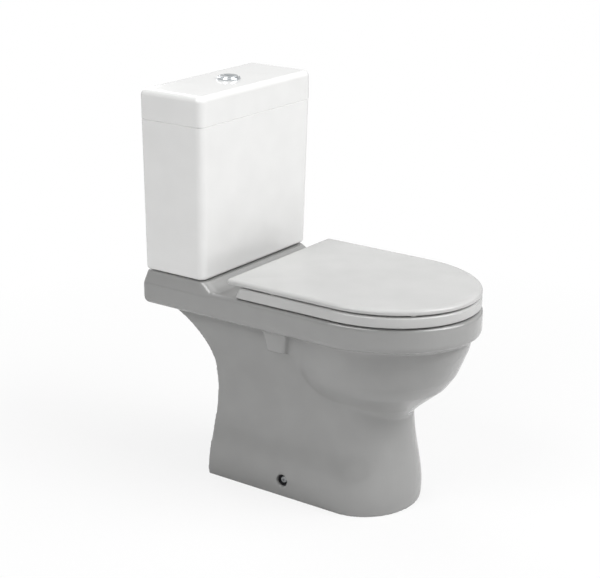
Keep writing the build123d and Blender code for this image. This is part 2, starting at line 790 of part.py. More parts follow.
valve_thread_bore = valve_tail_radius + nut_gap
save(ring_at(cistern_floor_z, valve_flange_radius - wall_gap, valve_thread_bore,
             valve_washer_height, flush_centre), "flush_valve_washer")
save(ring_at(backnut_low_z, backnut_radius, valve_thread_bore, backnut_height, flush_centre),
     "flush_valve_backnut")
save(ring_at(recess_floor_z, doughnut_radius, doughnut_bore, backnut_low_z - recess_floor_z,
             flush_centre), "coupling_seal")

with BuildPart() as flush_valve_tower:
    with Locations((0, flush_y, valve_deck_z)):
        Cylinder(tower_radius, tower_top_z - valve_deck_z, align=upward)
        Cylinder(tower_radius - tower_wall, tower_top_z - valve_deck_z, align=upward, mode=Mode.SUBTRACT)
        Box(window_width, 2 * tower_radius + overrun, window_height, align=upward, mode=Mode.SUBTRACT)
        Box(2 * tower_radius + overrun, window_width, window_height, align=upward, mode=Mode.SUBTRACT)
    with BuildSketch(Plane.XY.offset(tower_top_z)):
        with Locations(flush_centre):
            Circle(tower_radius)
            SlotCenterToCenter(2 * float_rod_x, 2 * half_float_radius, mode=Mode.ADD)
        with Locations((-float_rod_x - half_float_radius, flush_y)):
            Rectangle(float_rod_x + half_float_radius - tower_radius + tower_wall, 2 * half_float_radius,
                      align=(Align.MIN, Align.CENTER), mode=Mode.SUBTRACT)
        with Locations(flush_centre):
            Circle(tube_radius + tube_guide_gap, mode=Mode.SUBTRACT)
        with Locations((float_rod_x, flush_y)):
            Circle(rod_radius + rod_hole_gap, mode=Mode.SUBTRACT)
    extrude(amount=tower_plate)
save(flush_valve_tower.part, "flush_valve_tower")

with BuildPart() as rocker_frame:
    with Locations((0, flush_y, tower_plate_top_z)):
        Cylinder(tower_radius - tower_wall, frame_plate, align=upward)
        Cylinder(frame_base_bore, frame_plate, align=upward, mode=Mode.SUBTRACT)
    for side in (-1, 1):
        with Locations((0, flush_y + side * (frame_inside + frame_plate / 2), tower_plate_top_z)):
            Box(2 * frame_half_length, frame_plate, rocker_pivot_z + frame_head - tower_plate_top_z,
                align=upward)
    for side in (-1, 1):
        with Locations(Plane((side * rocker_pivot_x, flush_y, rocker_pivot_z), z_dir=(0, 1, 0))):
            Cylinder(axle_radius + axle_gap, 2 * (frame_inside + frame_plate + overrun), mode=Mode.SUBTRACT)
save(rocker_frame.part, "rocker_frame")

with BuildPart() as rocker_axles:
    for side in (-1, 1):
        with Locations(Plane((side * rocker_pivot_x, flush_y, rocker_pivot_z), z_dir=(0, 1, 0))):
            Cylinder(axle_radius, 2 * (frame_inside + frame_plate))
save(rocker_axles.part, "rocker_axles")

for side, flush_name in ((-1, "full"), (1, "half")):
    inner_x = rod_offset - rocker_end
    outer_x = rocker_reach + rocker_end
    with BuildPart() as rocker:
        with Locations((side * (inner_x + outer_x) / 2, flush_y, rocker_pivot_z)):
            Box(outer_x - inner_x, rocker_width, rocker_thickness)
        with Locations(Plane((side * rocker_pivot_x, flush_y, rocker_pivot_z), z_dir=(0, 1, 0))):
            Cylinder(rocker_hub_radius, rocker_width)
            Cylinder(axle_radius + axle_gap, rocker_width, mode=Mode.SUBTRACT)
    save(rocker.part, f"{flush_name}_flush_rocker")

with BuildPart() as overflow_tube:
    with Locations((0, flush_y, seal_low_z)):
        Cylinder(tube_radius, tube_top_z - seal_low_z, align=upward)
    with Locations((0, flush_y, seal_disc_z)):
        Cylinder(seal_radius, seal_disc_height, align=upward)
    with Locations((0, flush_y, seal_low_z)):
        Cylinder(tube_radius - tube_wall, tube_top_z - seal_low_z, align=upward, mode=Mode.SUBTRACT)
save(overflow_tube.part, "overflow_tube")
save(ring_at(seal_low_z, seal_radius, tube_radius + running_gap, seal_height, flush_centre), "flush_seal")

with BuildPart() as lift_yoke:
    with Locations((0, flush_y, tube_top_z - 2 * yoke_height)):
        Cylinder(tube_radius + yoke_wall, yoke_height, align=upward)
    with Locations((-hook_reach, flush_y, tube_top_z - 2 * yoke_height)):
        Box(hook_reach, hook_width, yoke_height, align=(Align.MIN, Align.CENTER, Align.MIN))
        Box(hook_thickness, hook_width, hook_z + hook_thickness - tube_top_z + 2 * yoke_height,
            align=(Align.MIN, Align.CENTER, Align.MIN))
    with Locations((-hook_reach, flush_y, hook_z)):
        Box(hook_reach - rocker_reach + rocker_end, hook_width, hook_thickness,
            align=(Align.MIN, Align.CENTER, Align.MIN))
    with Locations((0, flush_y, tube_top_z - 2 * yoke_height)):
        Cylinder(tube_radius + running_gap, yoke_height, align=upward, mode=Mode.SUBTRACT)
save(lift_yoke.part, "lift_yoke")

with BuildPart() as half_flush_rod:
    with Locations((float_rod_x, flush_y, half_float_low_z)):
        Cylinder(rod_radius, hook_z + hook_thickness - half_float_low_z, align=upward)
    with Locations((float_rod_x, flush_y, hook_z)):
        Box(float_rod_x - rocker_reach + rocker_end, hook_width, hook_thickness,
            align=(Align.MAX, Align.CENTER, Align.MIN))
save(half_flush_rod.part, "half_flush_rod")
save(ring_at(half_float_low_z, half_float_radius, rod_radius + running_gap, half_float_height,
             (float_rod_x, flush_y)), "half_flush_float")

# The fill valve
fill_flange_z = cistern_floor_z + valve_washer_height
fill_thread_bore = fill_shank_radius + nut_gap
fill_centre = (fill_x, flush_y)
lever_pivot = (fill_x + lever_pivot_dx, flush_y + float_rod_dy, lever_pivot_z)
lever_reach = lever_pivot_dx - float_rod_dx
lever_half_swing = float_travel / 2 / lever_reach
lever_line = Plane(lever_pivot, x_dir=(-cos(lever_half_swing), 0, -sin(lever_half_swing)), z_dir=(0, 1, 0))
float_rod_top_z = (
    lever_pivot_z - lever_reach * tan(lever_half_swing)
    - lever_thickness / 2 / cos(lever_half_swing) - lever_gap
)
ear_front_y = float_rod_dy + lever_width / 2 + wall_gap

with BuildPart() as fill_valve_body:
    with Locations((fill_x, flush_y, fill_flange_z)):
        Cylinder(fill_shank_radius, fill_shank_drop, align=downward)
        Cylinder(fill_flange_radius, fill_flange_height, align=upward)
        Cylinder(riser_radius, riser_top_z - fill_flange_z, align=upward)
    with Locations((fill_x, flush_y, riser_top_z)):
        Cylinder(head_radius, head_height, align=upward)
    fillet(fill_valve_body.faces().sort_by(Axis.Z)[-1].edges(), radius=ear_thickness)
    with Locations((fill_x, flush_y, cistern_bottom_z - fill_nut_height)):
        Cylinder(fill_nut_radius, shank_groove_width, align=downward, mode=Mode.SUBTRACT)
        Cylinder(fill_shank_radius - shank_groove_depth, shank_groove_width, align=downward)
    with Locations((fill_x + lever_pivot_dx, flush_y + ear_front_y, lever_pivot_z)):
        Box(2 * lever_hub_radius, -ear_front_y, 2 * lever_hub_radius,
            align=(Align.CENTER, Align.MIN, Align.CENTER))
    with Locations(Plane(lever_pivot, z_dir=(0, 1, 0))):
        Cylinder(lever_pin_radius + axle_gap, -float_rod_dy, align=upward, mode=Mode.SUBTRACT)
    with Locations((fill_x, flush_y, fill_flange_z - fill_shank_drop - overrun)):
        Cylinder(fill_bore, riser_top_z - fill_flange_z + fill_shank_drop, align=upward, mode=Mode.SUBTRACT)
save(fill_valve_body.part, "fill_valve_body")
save(ring_at(cistern_floor_z, fill_washer_radius, fill_thread_bore, valve_washer_height, fill_centre),
     "fill_valve_washer")
save(ring_at(cistern_bottom_z - fill_nut_height, fill_nut_radius, fill_thread_bore, fill_nut_height,
             fill_centre), "fill_valve_nut")

with BuildPart() as fill_float:
    with Locations((fill_x, flush_y, float_low_z)):
        Cylinder(float_radius, float_height, align=upward)
        Cylinder(float_radius - float_wall, float_height - float_wall, align=upward, mode=Mode.SUBTRACT)
        Cylinder(riser_radius + float_gap + float_wall, float_height, align=upward)
        Cylinder(riser_radius + float_gap, float_height, align=upward, mode=Mode.SUBTRACT)
save(fill_float.part, "fill_float")

with BuildPart() as fill_float_rod:
    with Locations((fill_x + float_rod_dx, flush_y + float_rod_dy, float_low_z + float_height)):
        Cylinder(float_rod_radius, float_rod_top_z - float_rod_radius - float_low_z - float_height,
                 align=upward)
    with Locations((fill_x + float_rod_dx, flush_y + float_rod_dy, float_rod_top_z - float_rod_radius)):
        Sphere(float_rod_radius)
save(fill_float_rod.part, "fill_float_rod")

with BuildPart() as float_lever:
    with Locations(lever_line):
        Box(lever_reach + 2 * float_rod_radius, lever_thickness, lever_width,
            align=(Align.MIN, Align.CENTER, Align.CENTER))
        Cylinder(lever_hub_radius, lever_width)
        Cylinder(lever_pin_radius + axle_gap, lever_width, mode=Mode.SUBTRACT)
save(float_lever.part, "float_lever")

with BuildPart() as lever_pin:
    with BuildSketch(Plane(lever_pivot, z_dir=(0, 1, 0)).offset(-lever_width / 2 - wall_gap)):
        Circle(lever_pin_radius)
    extrude(amount=lever_width - 2 * float_rod_radius - float_rod_dy - lever_pivot_dx)
    with BuildSketch(Plane(lever_pivot, z_dir=(0, 1, 0)).offset(-lever_width / 2 - wall_gap)):
        Circle(lever_pin_radius + ear_thickness / 2)
    extrude(amount=-ear_thickness / 2)
save(lever_pin.part, "lever_pin")


def wing_nut(x, y, top_z, bore):
    """Hub with a wing on each side, tightened from below."""
    with BuildPart() as nut:
        with Locations((x, y, top_z)):
            Cylinder(wing_nut_hub_radius, wing_nut_height, align=downward)
            Box(wing_nut_span, wing_nut_wing, wing_nut_height, align=downward)
            Cylinder(bore, wing_nut_height, align=downward, mode=Mode.SUBTRACT)
    return nut.part


def pair(piece):
    """The piece and its mirror image on the other side."""
    with BuildPart() as both:
        add(piece)
        mirror(about=Plane.YZ)
    return both.part


# Coupling of the cistern to the pan
shelf_underside_z = deck_z - shelf_wall
head_z = cistern_floor_z + coupling_cone_height
coupling_nut_top_z = shelf_underside_z - plate_washer_height
coupling_bolt_end_z = coupling_nut_top_z - wing_nut_height - bolt_tail
coupling_bore = coupling_bolt_radius + nut_gap

with BuildPart() as coupling_bolt:
    with Locations((coupling_x, flush_y, head_z)):
        Cylinder(coupling_head_radius, coupling_head_height, align=upward)
    with Locations((coupling_x, flush_y, coupling_bolt_end_z)):
        Cylinder(coupling_bolt_radius, head_z - coupling_bolt_end_z, align=upward)
save(pair(coupling_bolt.part), "coupling_bolts")

with BuildPart() as coupling_cone:
    with Locations((coupling_x, flush_y, cistern_floor_z)):
        Cone(coupling_cone_radius, coupling_head_radius, coupling_cone_height, align=upward)
        Cylinder(coupling_bore, coupling_cone_height, align=upward, mode=Mode.SUBTRACT)
save(pair(coupling_cone.part), "coupling_cone_washers")
save(ring_at(coupling_nut_top_z, plate_washer_radius, coupling_bore, plate_washer_height,
             (-coupling_x, flush_y), (coupling_x, flush_y)), "coupling_plate_washers")
save(pair(wing_nut(coupling_x, flush_y, coupling_nut_top_z, coupling_bore)), "coupling_wing_nuts")

# The seat ring and the lid
ring_top_z = ring_bottom_z + ring_thickness
hinge_pin_bore = hinge_pin_radius + running_gap
bush_radius = hinge_pin_bore + bush_wall
lug_offset = post_width / 2 + side_gap + lug_width / 2
ring_lug_x = hinge_x + lug_offset
lid_lug_x = hinge_x - lug_offset
notch_front_y = ring_rear_bottom_y - hinge_notch_depth


def inner_edges(part, height, reach):
    """Edges of an opening at one height, by their reach from the middle."""
    return part.edges().filter_by(
        lambda edge: abs(edge.center().Z - height) < running_gap
        and edge.bounding_box().max.X < reach
        and edge.bounding_box().min.X > -reach
    )


with BuildPart() as seat_ring:
    extrude(
        d_section(ring_bottom_z, seat_half_width, seat_centre_y, seat_front_y,
                  ring_rear_bottom_y, ring_corner),
        amount=ring_thickness,
    )
    fillet(seat_ring.faces().sort_by(Axis.Z)[-1].edges(), radius=ring_outer_round)
    fillet(seat_ring.faces().sort_by(Axis.Z)[0].edges(), radius=ring_under_round)
    extrude(
        egg_section(ring_bottom_z - overrun, ring_hole_half_width, ring_hole_centre_y,
                    ring_hole_centre_y - ring_hole_front_y, ring_hole_rear_y - ring_hole_centre_y),
        amount=ring_thickness + 2 * overrun, mode=Mode.SUBTRACT,
    )
    fillet(inner_edges(seat_ring, ring_top_z, ring_hole_half_width + overrun), radius=ring_inner_round)
    fillet(inner_edges(seat_ring, ring_bottom_z, ring_hole_half_width + overrun), radius=ring_under_round)
    with BuildSketch(Plane.YZ):
        with BuildLine():
            Polyline((ring_rear_bottom_y, ring_bottom_z), (ring_rear_bottom_y - ring_rear_slant, ring_top_z),
                     (ring_rear_bottom_y + overrun, ring_top_z + overrun),
                     (ring_rear_bottom_y + overrun, ring_bottom_z), (ring_rear_bottom_y, ring_bottom_z))
        make_face()
    extrude(amount=seat_half_width + overrun, both=True, mode=Mode.SUBTRACT)
    for side in (-1, 1):
        with Locations((side * hinge_x, notch_front_y, ring_bottom_z - overrun)):
            Box(2 * hinge_notch_half_width, 2 * hinge_notch_depth, ring_thickness + 2 * overrun,
                align=(Align.CENTER, Align.MIN, Align.MIN), mode=Mode.SUBTRACT)
    for side in (-1, 1):
        with Locations((side * ring_lug_x, notch_front_y - lug_neck, hinge_z)):
            Box(lug_width, hinge_y - notch_front_y + lug_neck, 2 * lug_neck,
                align=(Align.CENTER, Align.MIN, Align.CENTER))
        with Locations(Plane((side * ring_lug_x, hinge_y, hinge_z), z_dir=(1, 0, 0))):
            Cylinder(barrel_radius, lug_width)
            Cylinder(bush_radius + running_gap, lug_width, mode=Mode.SUBTRACT)
save(seat_ring.part, "seat_ring")

with BuildPart() as seat_lid:
    extrude(
        d_section(lid_bottom_z, seat_half_width, seat_centre_y, seat_front_y, seat_lid_rear_y,
                  seat_lid_corner),
        amount=seat_lid_thickness,
    )
    fillet(seat_lid.faces().sort_by(Axis.Z)[-1].edges(), radius=seat_lid_round)
    fillet(seat_lid.faces().sort_by(Axis.Z)[0].edges(), radius=seat_lid_round / 4)
    extrude(
        d_section(lid_bottom_z - overrun, seat_half_width - seat_lid_border, seat_centre_y,
                  seat_front_y + seat_lid_border, seat_lid_rear_y - seat_lid_hinge_block, seat_lid_corner),
        amount=seat_lid_hollow + overrun, mode=Mode.SUBTRACT,
    )
    for side in (-1, 1):
        with Locations((side * lid_lug_x, hinge_y, hinge_z)):
            Box(lug_width, 2 * barrel_radius, lid_bottom_z - hinge_z + seat_lid_round / 2, align=upward)
        with Locations(Plane((side * lid_lug_x, hinge_y, hinge_z), z_dir=(1, 0, 0))):
            Cylinder(barrel_radius, lug_width)
            Cylinder(bush_radius + running_gap, lug_width, mode=Mode.SUBTRACT)
save(seat_lid.part, "seat_lid")

border_half_width = seat_half_width - seat_lid_border / 2
border_length = seat_centre_y - seat_front_y - seat_lid_border / 2
seat_buffer_front_y = seat_front_y + seat_buffer_front_inset
lid_buffer_front_y = seat_front_y + lid_buffer_front_inset
lid_buffer_front_share = (seat_centre_y - lid_buffer_front_y) / border_length
lid_buffer_front_x = border_half_width * sqrt(1 - lid_buffer_front_share ** 2)
ring_buffer_places = [
    (side * x, y)
    for side in (-1, 1)
    for x, y in (
        (seat_half_width - seat_buffer_inset, seat_buffer_rear_y),
        (seat_half_width * seat_buffer_front_share, seat_buffer_front_y),
    )
]
lid_buffer_places = [
    (side * x, y)
    for side in (-1, 1)
    for x, y in ((border_half_width, lid_buffer_rear_y), (lid_buffer_front_x, lid_buffer_front_y))
]
for label, places, radius, low_z, top_z in (
    ("seat_buffers", ring_buffer_places, buffer_radius, rim_top_z + wall_gap, ring_bottom_z),
    ("lid_buffers", lid_buffer_places, lid_buffer_radius, ring_top_z + wall_gap, lid_bottom_z),
):
    with BuildPart() as buffers:
        with Locations(*[(x, y, low_z) for x, y in places]):
            Cylinder(radius, top_z - low_z, align=upward)
    save(buffers.part, label)

# The hinges
gasket_top_z = rim_top_z + gasket_height
stud_bore = stud_radius + nut_gap
stud_places = ((-hinge_x, stud_y), (hinge_x, stud_y))
hinge_nut_top_z = rim_deck_ceiling_z - cone_height

with BuildPart() as hinge_post:
    with Locations((hinge_x, stud_y, gasket_top_z)):
        Cylinder(post_foot_radius, post_foot_height, align=upward)
    with Locations((hinge_x, hinge_y, gasket_top_z)):
        Box(post_neck_width, 2 * lug_neck, hinge_z - gasket_top_z, align=upward)
    with Locations(Plane((hinge_x, hinge_y, hinge_z), z_dir=(1, 0, 0))):
        Cylinder(barrel_radius, post_width)
        Cylinder(hinge_pin_bore, post_width, mode=Mode.SUBTRACT)
save(pair(hinge_post.part), "hinge_posts")

with BuildPart() as hinge_pin:
    with Locations(Plane((hinge_x, hinge_y, hinge_z), z_dir=(1, 0, 0))):
        Cylinder(hinge_pin_radius, 2 * lug_offset + lug_width)
save(pair(hinge_pin.part), "hinge_pins")

for label, x in (("ring_hinge_bushes", ring_lug_x), ("lid_hinge_bushes", lid_lug_x)):
    with BuildPart() as bush:
        with Locations(Plane((x, hinge_y, hinge_z), z_dir=(1, 0, 0))):
            Cylinder(bush_radius, lug_width)
            Cylinder(hinge_pin_bore, lug_width, mode=Mode.SUBTRACT)
    save(pair(bush.part), label)

save(ring_at(rim_top_z, post_foot_radius, stud_bore, gasket_height, *stud_places), "hinge_gaskets")

with BuildPart() as hinge_studs:
    with Locations(*[(x, y, gasket_top_z) for x, y in stud_places]):
        Cylinder(stud_radius, stud_drop, align=downward)
save(hinge_studs.part, "hinge_studs")

with BuildPart() as hinge_cones:
    with Locations(*[(x, y, hinge_nut_top_z) for x, y in stud_places]):
        Cylinder(cone_radius, cone_height, align=upward)
        Cylinder(cone_top_radius, cone_height + rim_deck_wall / 2, align=upward)
        Cylinder(stud_bore, cone_height + rim_deck_wall, align=upward, mode=Mode.SUBTRACT)
save(hinge_cones.part, "hinge_cone_washers")
save(pair(wing_nut(hinge_x, stud_y, hinge_nut_top_z, stud_bore)), "hinge_wing_nuts")

# Floor fixing
bracket_outer_x = pedestal_half_width_at(bracket_height) - pedestal_wall - wall_gap
boss_end_x = pedestal_half_width_at(side_hole_z + bracket_boss_radius) - pedestal_wall - wall_gap
recess_floor_x = side_wall_x - side_recess_depth
screw_seat_x = recess_floor_x + cup_washer_height

with BuildPart() as floor_bracket:
    with Locations((bracket_outer_x, side_hole_y, 0)):
        Box(bracket_thickness, 2 * bracket_half_width, bracket_height,
            align=(Align.MAX, Align.CENTER, Align.MIN))
        Box(bracket_foot, 2 * bracket_half_width, bracket_thickness,
            align=(Align.MAX, Align.CENTER, Align.MIN))
    with BuildSketch(Plane((bracket_outer_x, side_hole_y, side_hole_z), z_dir=(1, 0, 0))):
        Circle(bracket_boss_radius)
    extrude(amount=boss_end_x - bracket_outer_x)
    with Locations(Plane((bracket_outer_x, side_hole_y, side_hole_z), z_dir=(1, 0, 0))):
        Cylinder(side_screw_radius + nut_gap, bracket_foot, mode=Mode.SUBTRACT)
    with Locations((bracket_outer_x - bracket_hole_reach, side_hole_y, -overrun)):
        Cylinder(bracket_hole_radius, bracket_thickness + 2 * overrun, align=upward, mode=Mode.SUBTRACT)
save(pair(floor_bracket.part), "floor_brackets")

with BuildPart() as side_screw:
    with BuildSketch(Plane((screw_seat_x, side_hole_y, side_hole_z), z_dir=(1, 0, 0))):
        Circle(side_screw_head_radius)
    extrude(amount=side_screw_head_height)
    fillet(side_screw.faces().sort_by(Axis.X)[-1].edges(), radius=screw_slot)
    with BuildSketch(Plane((screw_seat_x, side_hole_y, side_hole_z), z_dir=(-1, 0, 0))):
        Circle(side_screw_radius)
    extrude(amount=side_screw_length)
    with Locations((screw_seat_x + side_screw_head_height, side_hole_y, side_hole_z)):
        Box(side_screw_head_height, side_screw_head_radius, screw_slot, mode=Mode.SUBTRACT)
        Box(side_screw_head_height, screw_slot, side_screw_head_radius, mode=Mode.SUBTRACT)
save(pair(side_screw.part), "side_screws")

with BuildPart() as cup_washer:
    with BuildSketch(Plane((recess_floor_x, side_hole_y, side_hole_z), z_dir=(1, 0, 0))):
        Circle(side_recess_radius - cup_washer_gap)
        Circle(side_screw_radius + nut_gap, mode=Mode.SUBTRACT)
    extrude(amount=cup_washer_height)
save(pair(cup_washer.part), "side_screw_washers")
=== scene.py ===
"""Looks of a close-coupled toilet: glazed china, seat plastic, chrome keys and valve gear.

Sizes are in millimetres in this file and are turned to metres where a mesh is filled.
"""

import logging
import math
from dataclasses import dataclass
from enum import Enum
from typing import Any, Mapping, Sequence

import bpy
import numpy as np
from mathutils import Matrix, Vector


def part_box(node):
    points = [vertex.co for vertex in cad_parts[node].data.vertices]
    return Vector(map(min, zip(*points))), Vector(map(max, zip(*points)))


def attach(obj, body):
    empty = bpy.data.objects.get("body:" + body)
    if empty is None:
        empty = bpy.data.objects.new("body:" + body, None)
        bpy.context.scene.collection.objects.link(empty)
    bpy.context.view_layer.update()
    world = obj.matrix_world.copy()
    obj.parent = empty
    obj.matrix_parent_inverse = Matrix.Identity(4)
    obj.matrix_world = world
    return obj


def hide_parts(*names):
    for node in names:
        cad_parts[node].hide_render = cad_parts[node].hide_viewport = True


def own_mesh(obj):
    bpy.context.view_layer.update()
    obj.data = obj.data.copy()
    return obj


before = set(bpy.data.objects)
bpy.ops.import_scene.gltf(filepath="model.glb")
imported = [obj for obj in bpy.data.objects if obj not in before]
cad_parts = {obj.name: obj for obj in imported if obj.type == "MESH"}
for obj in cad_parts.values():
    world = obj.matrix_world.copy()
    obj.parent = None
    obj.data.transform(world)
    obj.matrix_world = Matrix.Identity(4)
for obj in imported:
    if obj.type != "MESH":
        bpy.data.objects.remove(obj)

logging.basicConfig(level=logging.INFO, format="%(message)s")
log = logging.getLogger("toilet")

MM = 0.001
TINY = 1e-6
WELD_MM = 0.002                    # corners of loose triangles closer than this are one corner
NOISE_RANGE = (0.3, 0.7)           # where nearly all of a noise's values lie
WHITE = (1.0, 1.0, 1.0, 1.0)

# Where the runs of the seat's outline meet, as shares of its columns: front, side, corner, rear,
# corner and side
FRONT_SHARE = 0.44
SEAT_MARKS = (0.0, FRONT_SHARE, 0.54, 0.60, 0.84, 0.90, 1.0)

SIDES = ((-1, "right"), (1, "left"))    # the sign of x, and the toilet's own side

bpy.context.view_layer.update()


# Colours and shader nodes

def linear(hex_colour: str) -> tuple[float, float, float, float]:
    """Turn an sRGB hex colour into the linear colour that a shader socket holds.

    Each channel c from 0 to 1 becomes c / 12.92 below 0.04045 and ((c + 0.055) / 1.055) ** 2.4
    above it.

    Args:
        hex_colour: six hex digits after a hash sign.

    Returns:
        Red, green, blue and an alpha of one.
    """
    channels = np.array([int(hex_colour[i:i + 2], 16) / 255 for i in (1, 3, 5)])
    low = channels / 12.92
    high = ((channels + 0.055) / 1.055) ** 2.4
    return (*np.where(channels <= 0.04045, low, high).tolist(), 1.0)


def wire(tree: bpy.types.NodeTree, kind: str, inputs: Mapping[Any, Any] | None = None,
         **settings: Any) -> bpy.types.Node:
    """Add one node, give it its settings, and link or fill its sockets.

    Args:
        tree: the material's node tree.
        kind: the node's type name.
        inputs: socket name or number to a value, or to the output socket it is linked from.
        settings: the node's own properties.

    Returns:
        The new node.
    """
    made = tree.nodes.new(kind)
    for name, value in settings.items():
        setattr(made, name, value)
    for name, value in (inputs or {}).items():
        if isinstance(value, bpy.types.NodeSocket):
            tree.links.new(value, made.inputs[name])
        else:
            made.inputs[name].default_value = value
    return made


def empty_material(name: str) -> tuple[bpy.types.Material, bpy.types.NodeTree]:
    """A new material without any nodes.

    Args:
        name: what the finish is.

    Returns:
        The material and its node tree.
    """
    material = bpy.data.materials.new(name)
    material.use_nodes = True
    material.node_tree.nodes.clear()
    return material, material.node_tree


def finish_material(tree: bpy.types.NodeTree, shader: bpy.types.Node) -> None:
    """Link a shader to the material's output."""
    wire(tree, "ShaderNodeOutputMaterial", {"Surface": shader.outputs[0]})


def grain(tree: bpy.types.NodeTree, size_mm: float, detail: float = 2.0,
          stretch: Sequence[float] = (1.0, 1.0, 1.0)) -> bpy.types.NodeSocket:
    """Noise on object coordinates with a grain of a real size: its scale is one over that size.

    Args:
        tree: the material's node tree.
        size_mm: the grain's size.
        detail: how many finer layers the noise has.
        stretch: factors on the coordinates, below one where the grain is drawn out.

    Returns:
        The noise's value, from 0 to 1.
    """
    place = wire(tree, "ShaderNodeTexCoord")
    mapped = wire(tree, "ShaderNodeMapping",
                  {"Vector": place.outputs["Object"], "Scale": tuple(stretch)})
    noise = wire(tree, "ShaderNodeTexNoise",
                 {"Vector": mapped.outputs[0], "Scale": 1.0 / (size_mm * MM), "Detail": detail})
    return noise.outputs["Fac"]


def ranged(tree: bpy.types.NodeTree, value: bpy.types.NodeSocket, low: float, high: float,
           ) -> bpy.types.NodeSocket:
    """Spread a noise's usual range over low to high."""
    spread = wire(tree, "ShaderNodeMapRange",
                  {"Value": value, "From Min": NOISE_RANGE[0], "From Max": NOISE_RANGE[1],
                   "To Min": low, "To Max": high})
    return spread.outputs[0]


def tinted(tree: bpy.types.NodeTree, value: bpy.types.NodeSocket, first: str, second: str,
           ) -> bpy.types.NodeSocket:
    """Mix two sRGB hex colours by a value from 0 to 1."""
    mix = wire(tree, "ShaderNodeMix", {0: value, 6: linear(first), 7: linear(second)},
               data_type="RGBA")
    return mix.outputs[2]


def bumped(tree: bpy.types.NodeTree, height: bpy.types.NodeSocket, depth_mm: float, strength: float,
           under: bpy.types.NodeSocket | None = None) -> bpy.types.NodeSocket:
    """A normal raised by a height map.

    Args:
        tree: the material's node tree.
        height: the map, from 0 to 1.
        depth_mm: the map's real depth.
        strength: how much of it shows, up to 1.
        under: an earlier normal that it lies over.

    Returns:
        The new normal.
    """
    inputs = {"Height": height, "Distance": depth_mm * MM, "Strength": strength}
    if under is not None:
        inputs["Normal"] = under
    return wire(tree, "ShaderNodeBump", inputs).outputs[0]


@dataclass(frozen=True)
class GlazedChina:
    """Vitreous china, slip cast, sprayed with an opaque glaze and fired.

    To the eye: an even clear gloss over a body that swells a little, with a greyer tone that drifts
    slowly over it and is painted into creases as shade.
    """

    name: str
    colour: str
    # the greyer tone: slow random drifts of it, and the painted shade in creases
    crease: str
    swell_mm: float = 55.0
    swell_depth_mm: float = 0.9
    swell_strength: float = 0.16
    peel_mm: float = 3.0
    peel_depth_mm: float = 0.05
    peel_strength: float = 0.10
    cloudiness: float = 0.25                                # of the crease's colour, on open faces
    shade_pointiness: tuple[float, float] = (0.44, 0.50)         # pointiness in a crease and outside it
    roughness: tuple[float, float] = (0.10, 0.17)
    ior: float = 1.52
    coat: float = 0.35
    coat_roughness: float = 0.05

    def material(self) -> bpy.types.Material:
        """The finish as a material."""
        material, tree = empty_material(self.name)
        slow = grain(tree, self.swell_mm, detail=1.0)
        peel = grain(tree, self.peel_mm, detail=1.0)
        form = wire(tree, "ShaderNodeNewGeometry").outputs["Pointiness"]
        # painted shade: faces of low pointiness, in creases, take the greyer crease colour
        hollow = wire(tree, "ShaderNodeMapRange",
                      {"Value": form, "From Min": self.shade_pointiness[0],
                       "From Max": self.shade_pointiness[1], "To Min": 1.0, "To Max": 0.0})
        tone_and_shade = wire(tree, "ShaderNodeMath",
                     {0: ranged(tree, slow, 0.0, self.cloudiness), 1: hollow.outputs[0]},
                     operation="MAXIMUM")
        normal = bumped(tree, slow, self.swell_depth_mm, self.swell_strength)
        shader = wire(tree, "ShaderNodeBsdfPrincipled", {
            "Base Color": tinted(tree, tone_and_shade.outputs[0], self.colour, self.crease),
            "Roughness": ranged(tree, peel, *self.roughness),
            "Normal": bumped(tree, peel, self.peel_depth_mm, self.peel_strength, normal),
            "IOR": self.ior,
            "Coat Weight": self.coat,
            "Coat Roughness": self.coat_roughness,
        })
        finish_material(tree, shader)
        return material


@dataclass(frozen=True)
class GrainedFinish:
    """A surface whose gloss and relief follow a grain, and its colour that or a slow tone."""

    name: str
    colour: str
    shade: str
    roughness: tuple[float, float]
    grain_mm: float
    depth_mm: float
    strength: float
    detail: float = 2.0
    along: tuple[float, float, float] = (1.0, 1.0, 1.0)    # below one where the grain is drawn out
    tone_mm: float | None = None                           # size of the slow tone changes, if any
    metallic: float = 0.0
    ior: float = 1.50                                      # a metal keeps the default

    def material(self) -> bpy.types.Material:
        """The finish as a material."""
        material, tree = empty_material(self.name)
        fine = grain(tree, self.grain_mm, self.detail, self.along)
        tone = grain(tree, self.tone_mm, detail=1.0) if self.tone_mm else fine
        inputs = {
            "Base Color": tinted(tree, ranged(tree, tone, 0.0, 1.0), self.colour, self.shade),
            "Metallic": self.metallic,
            "Roughness": ranged(tree, fine, *self.roughness),
            "Normal": bumped(tree, fine, self.depth_mm, self.strength),
        }
        if not self.metallic:
            inputs["IOR"] = self.ior
        finish_material(tree, wire(tree, "ShaderNodeBsdfPrincipled", inputs))
        return material


@dataclass(frozen=True)
class MouldedPlastic(GrainedFinish):
    """Injection or compression moulded plastic with the mould's own texture.

    To the eye: a soft even sheen, broken by a fine spark-eroded grain and slow tone changes.
    """

    grain_mm: float = 0.9     # real grit is finer; this is as coarse as it needs to show
    depth_mm: float = 0.04
    strength: float = 0.15
    tone_mm: float = 70.0


@dataclass(frozen=True)
class PolishedChrome(GrainedFinish):
    """Chrome plated over polished brass or plastic.

    To the eye: a bright mirror with a bluish cast and a trace of fine wiping marks.
    """

    colour: str = "#D9DCDE"
    shade: str = "#C9CDD0"
    roughness: tuple[float, float] = (0.06, 0.14)
    grain_mm: float = 2.5
    depth_mm: float = 0.01
    strength: float = 0.05
    detail: float = 3.0
    along: tuple[float, float, float] = (1.0, 0.12, 1.0)
    metallic: float = 1.0


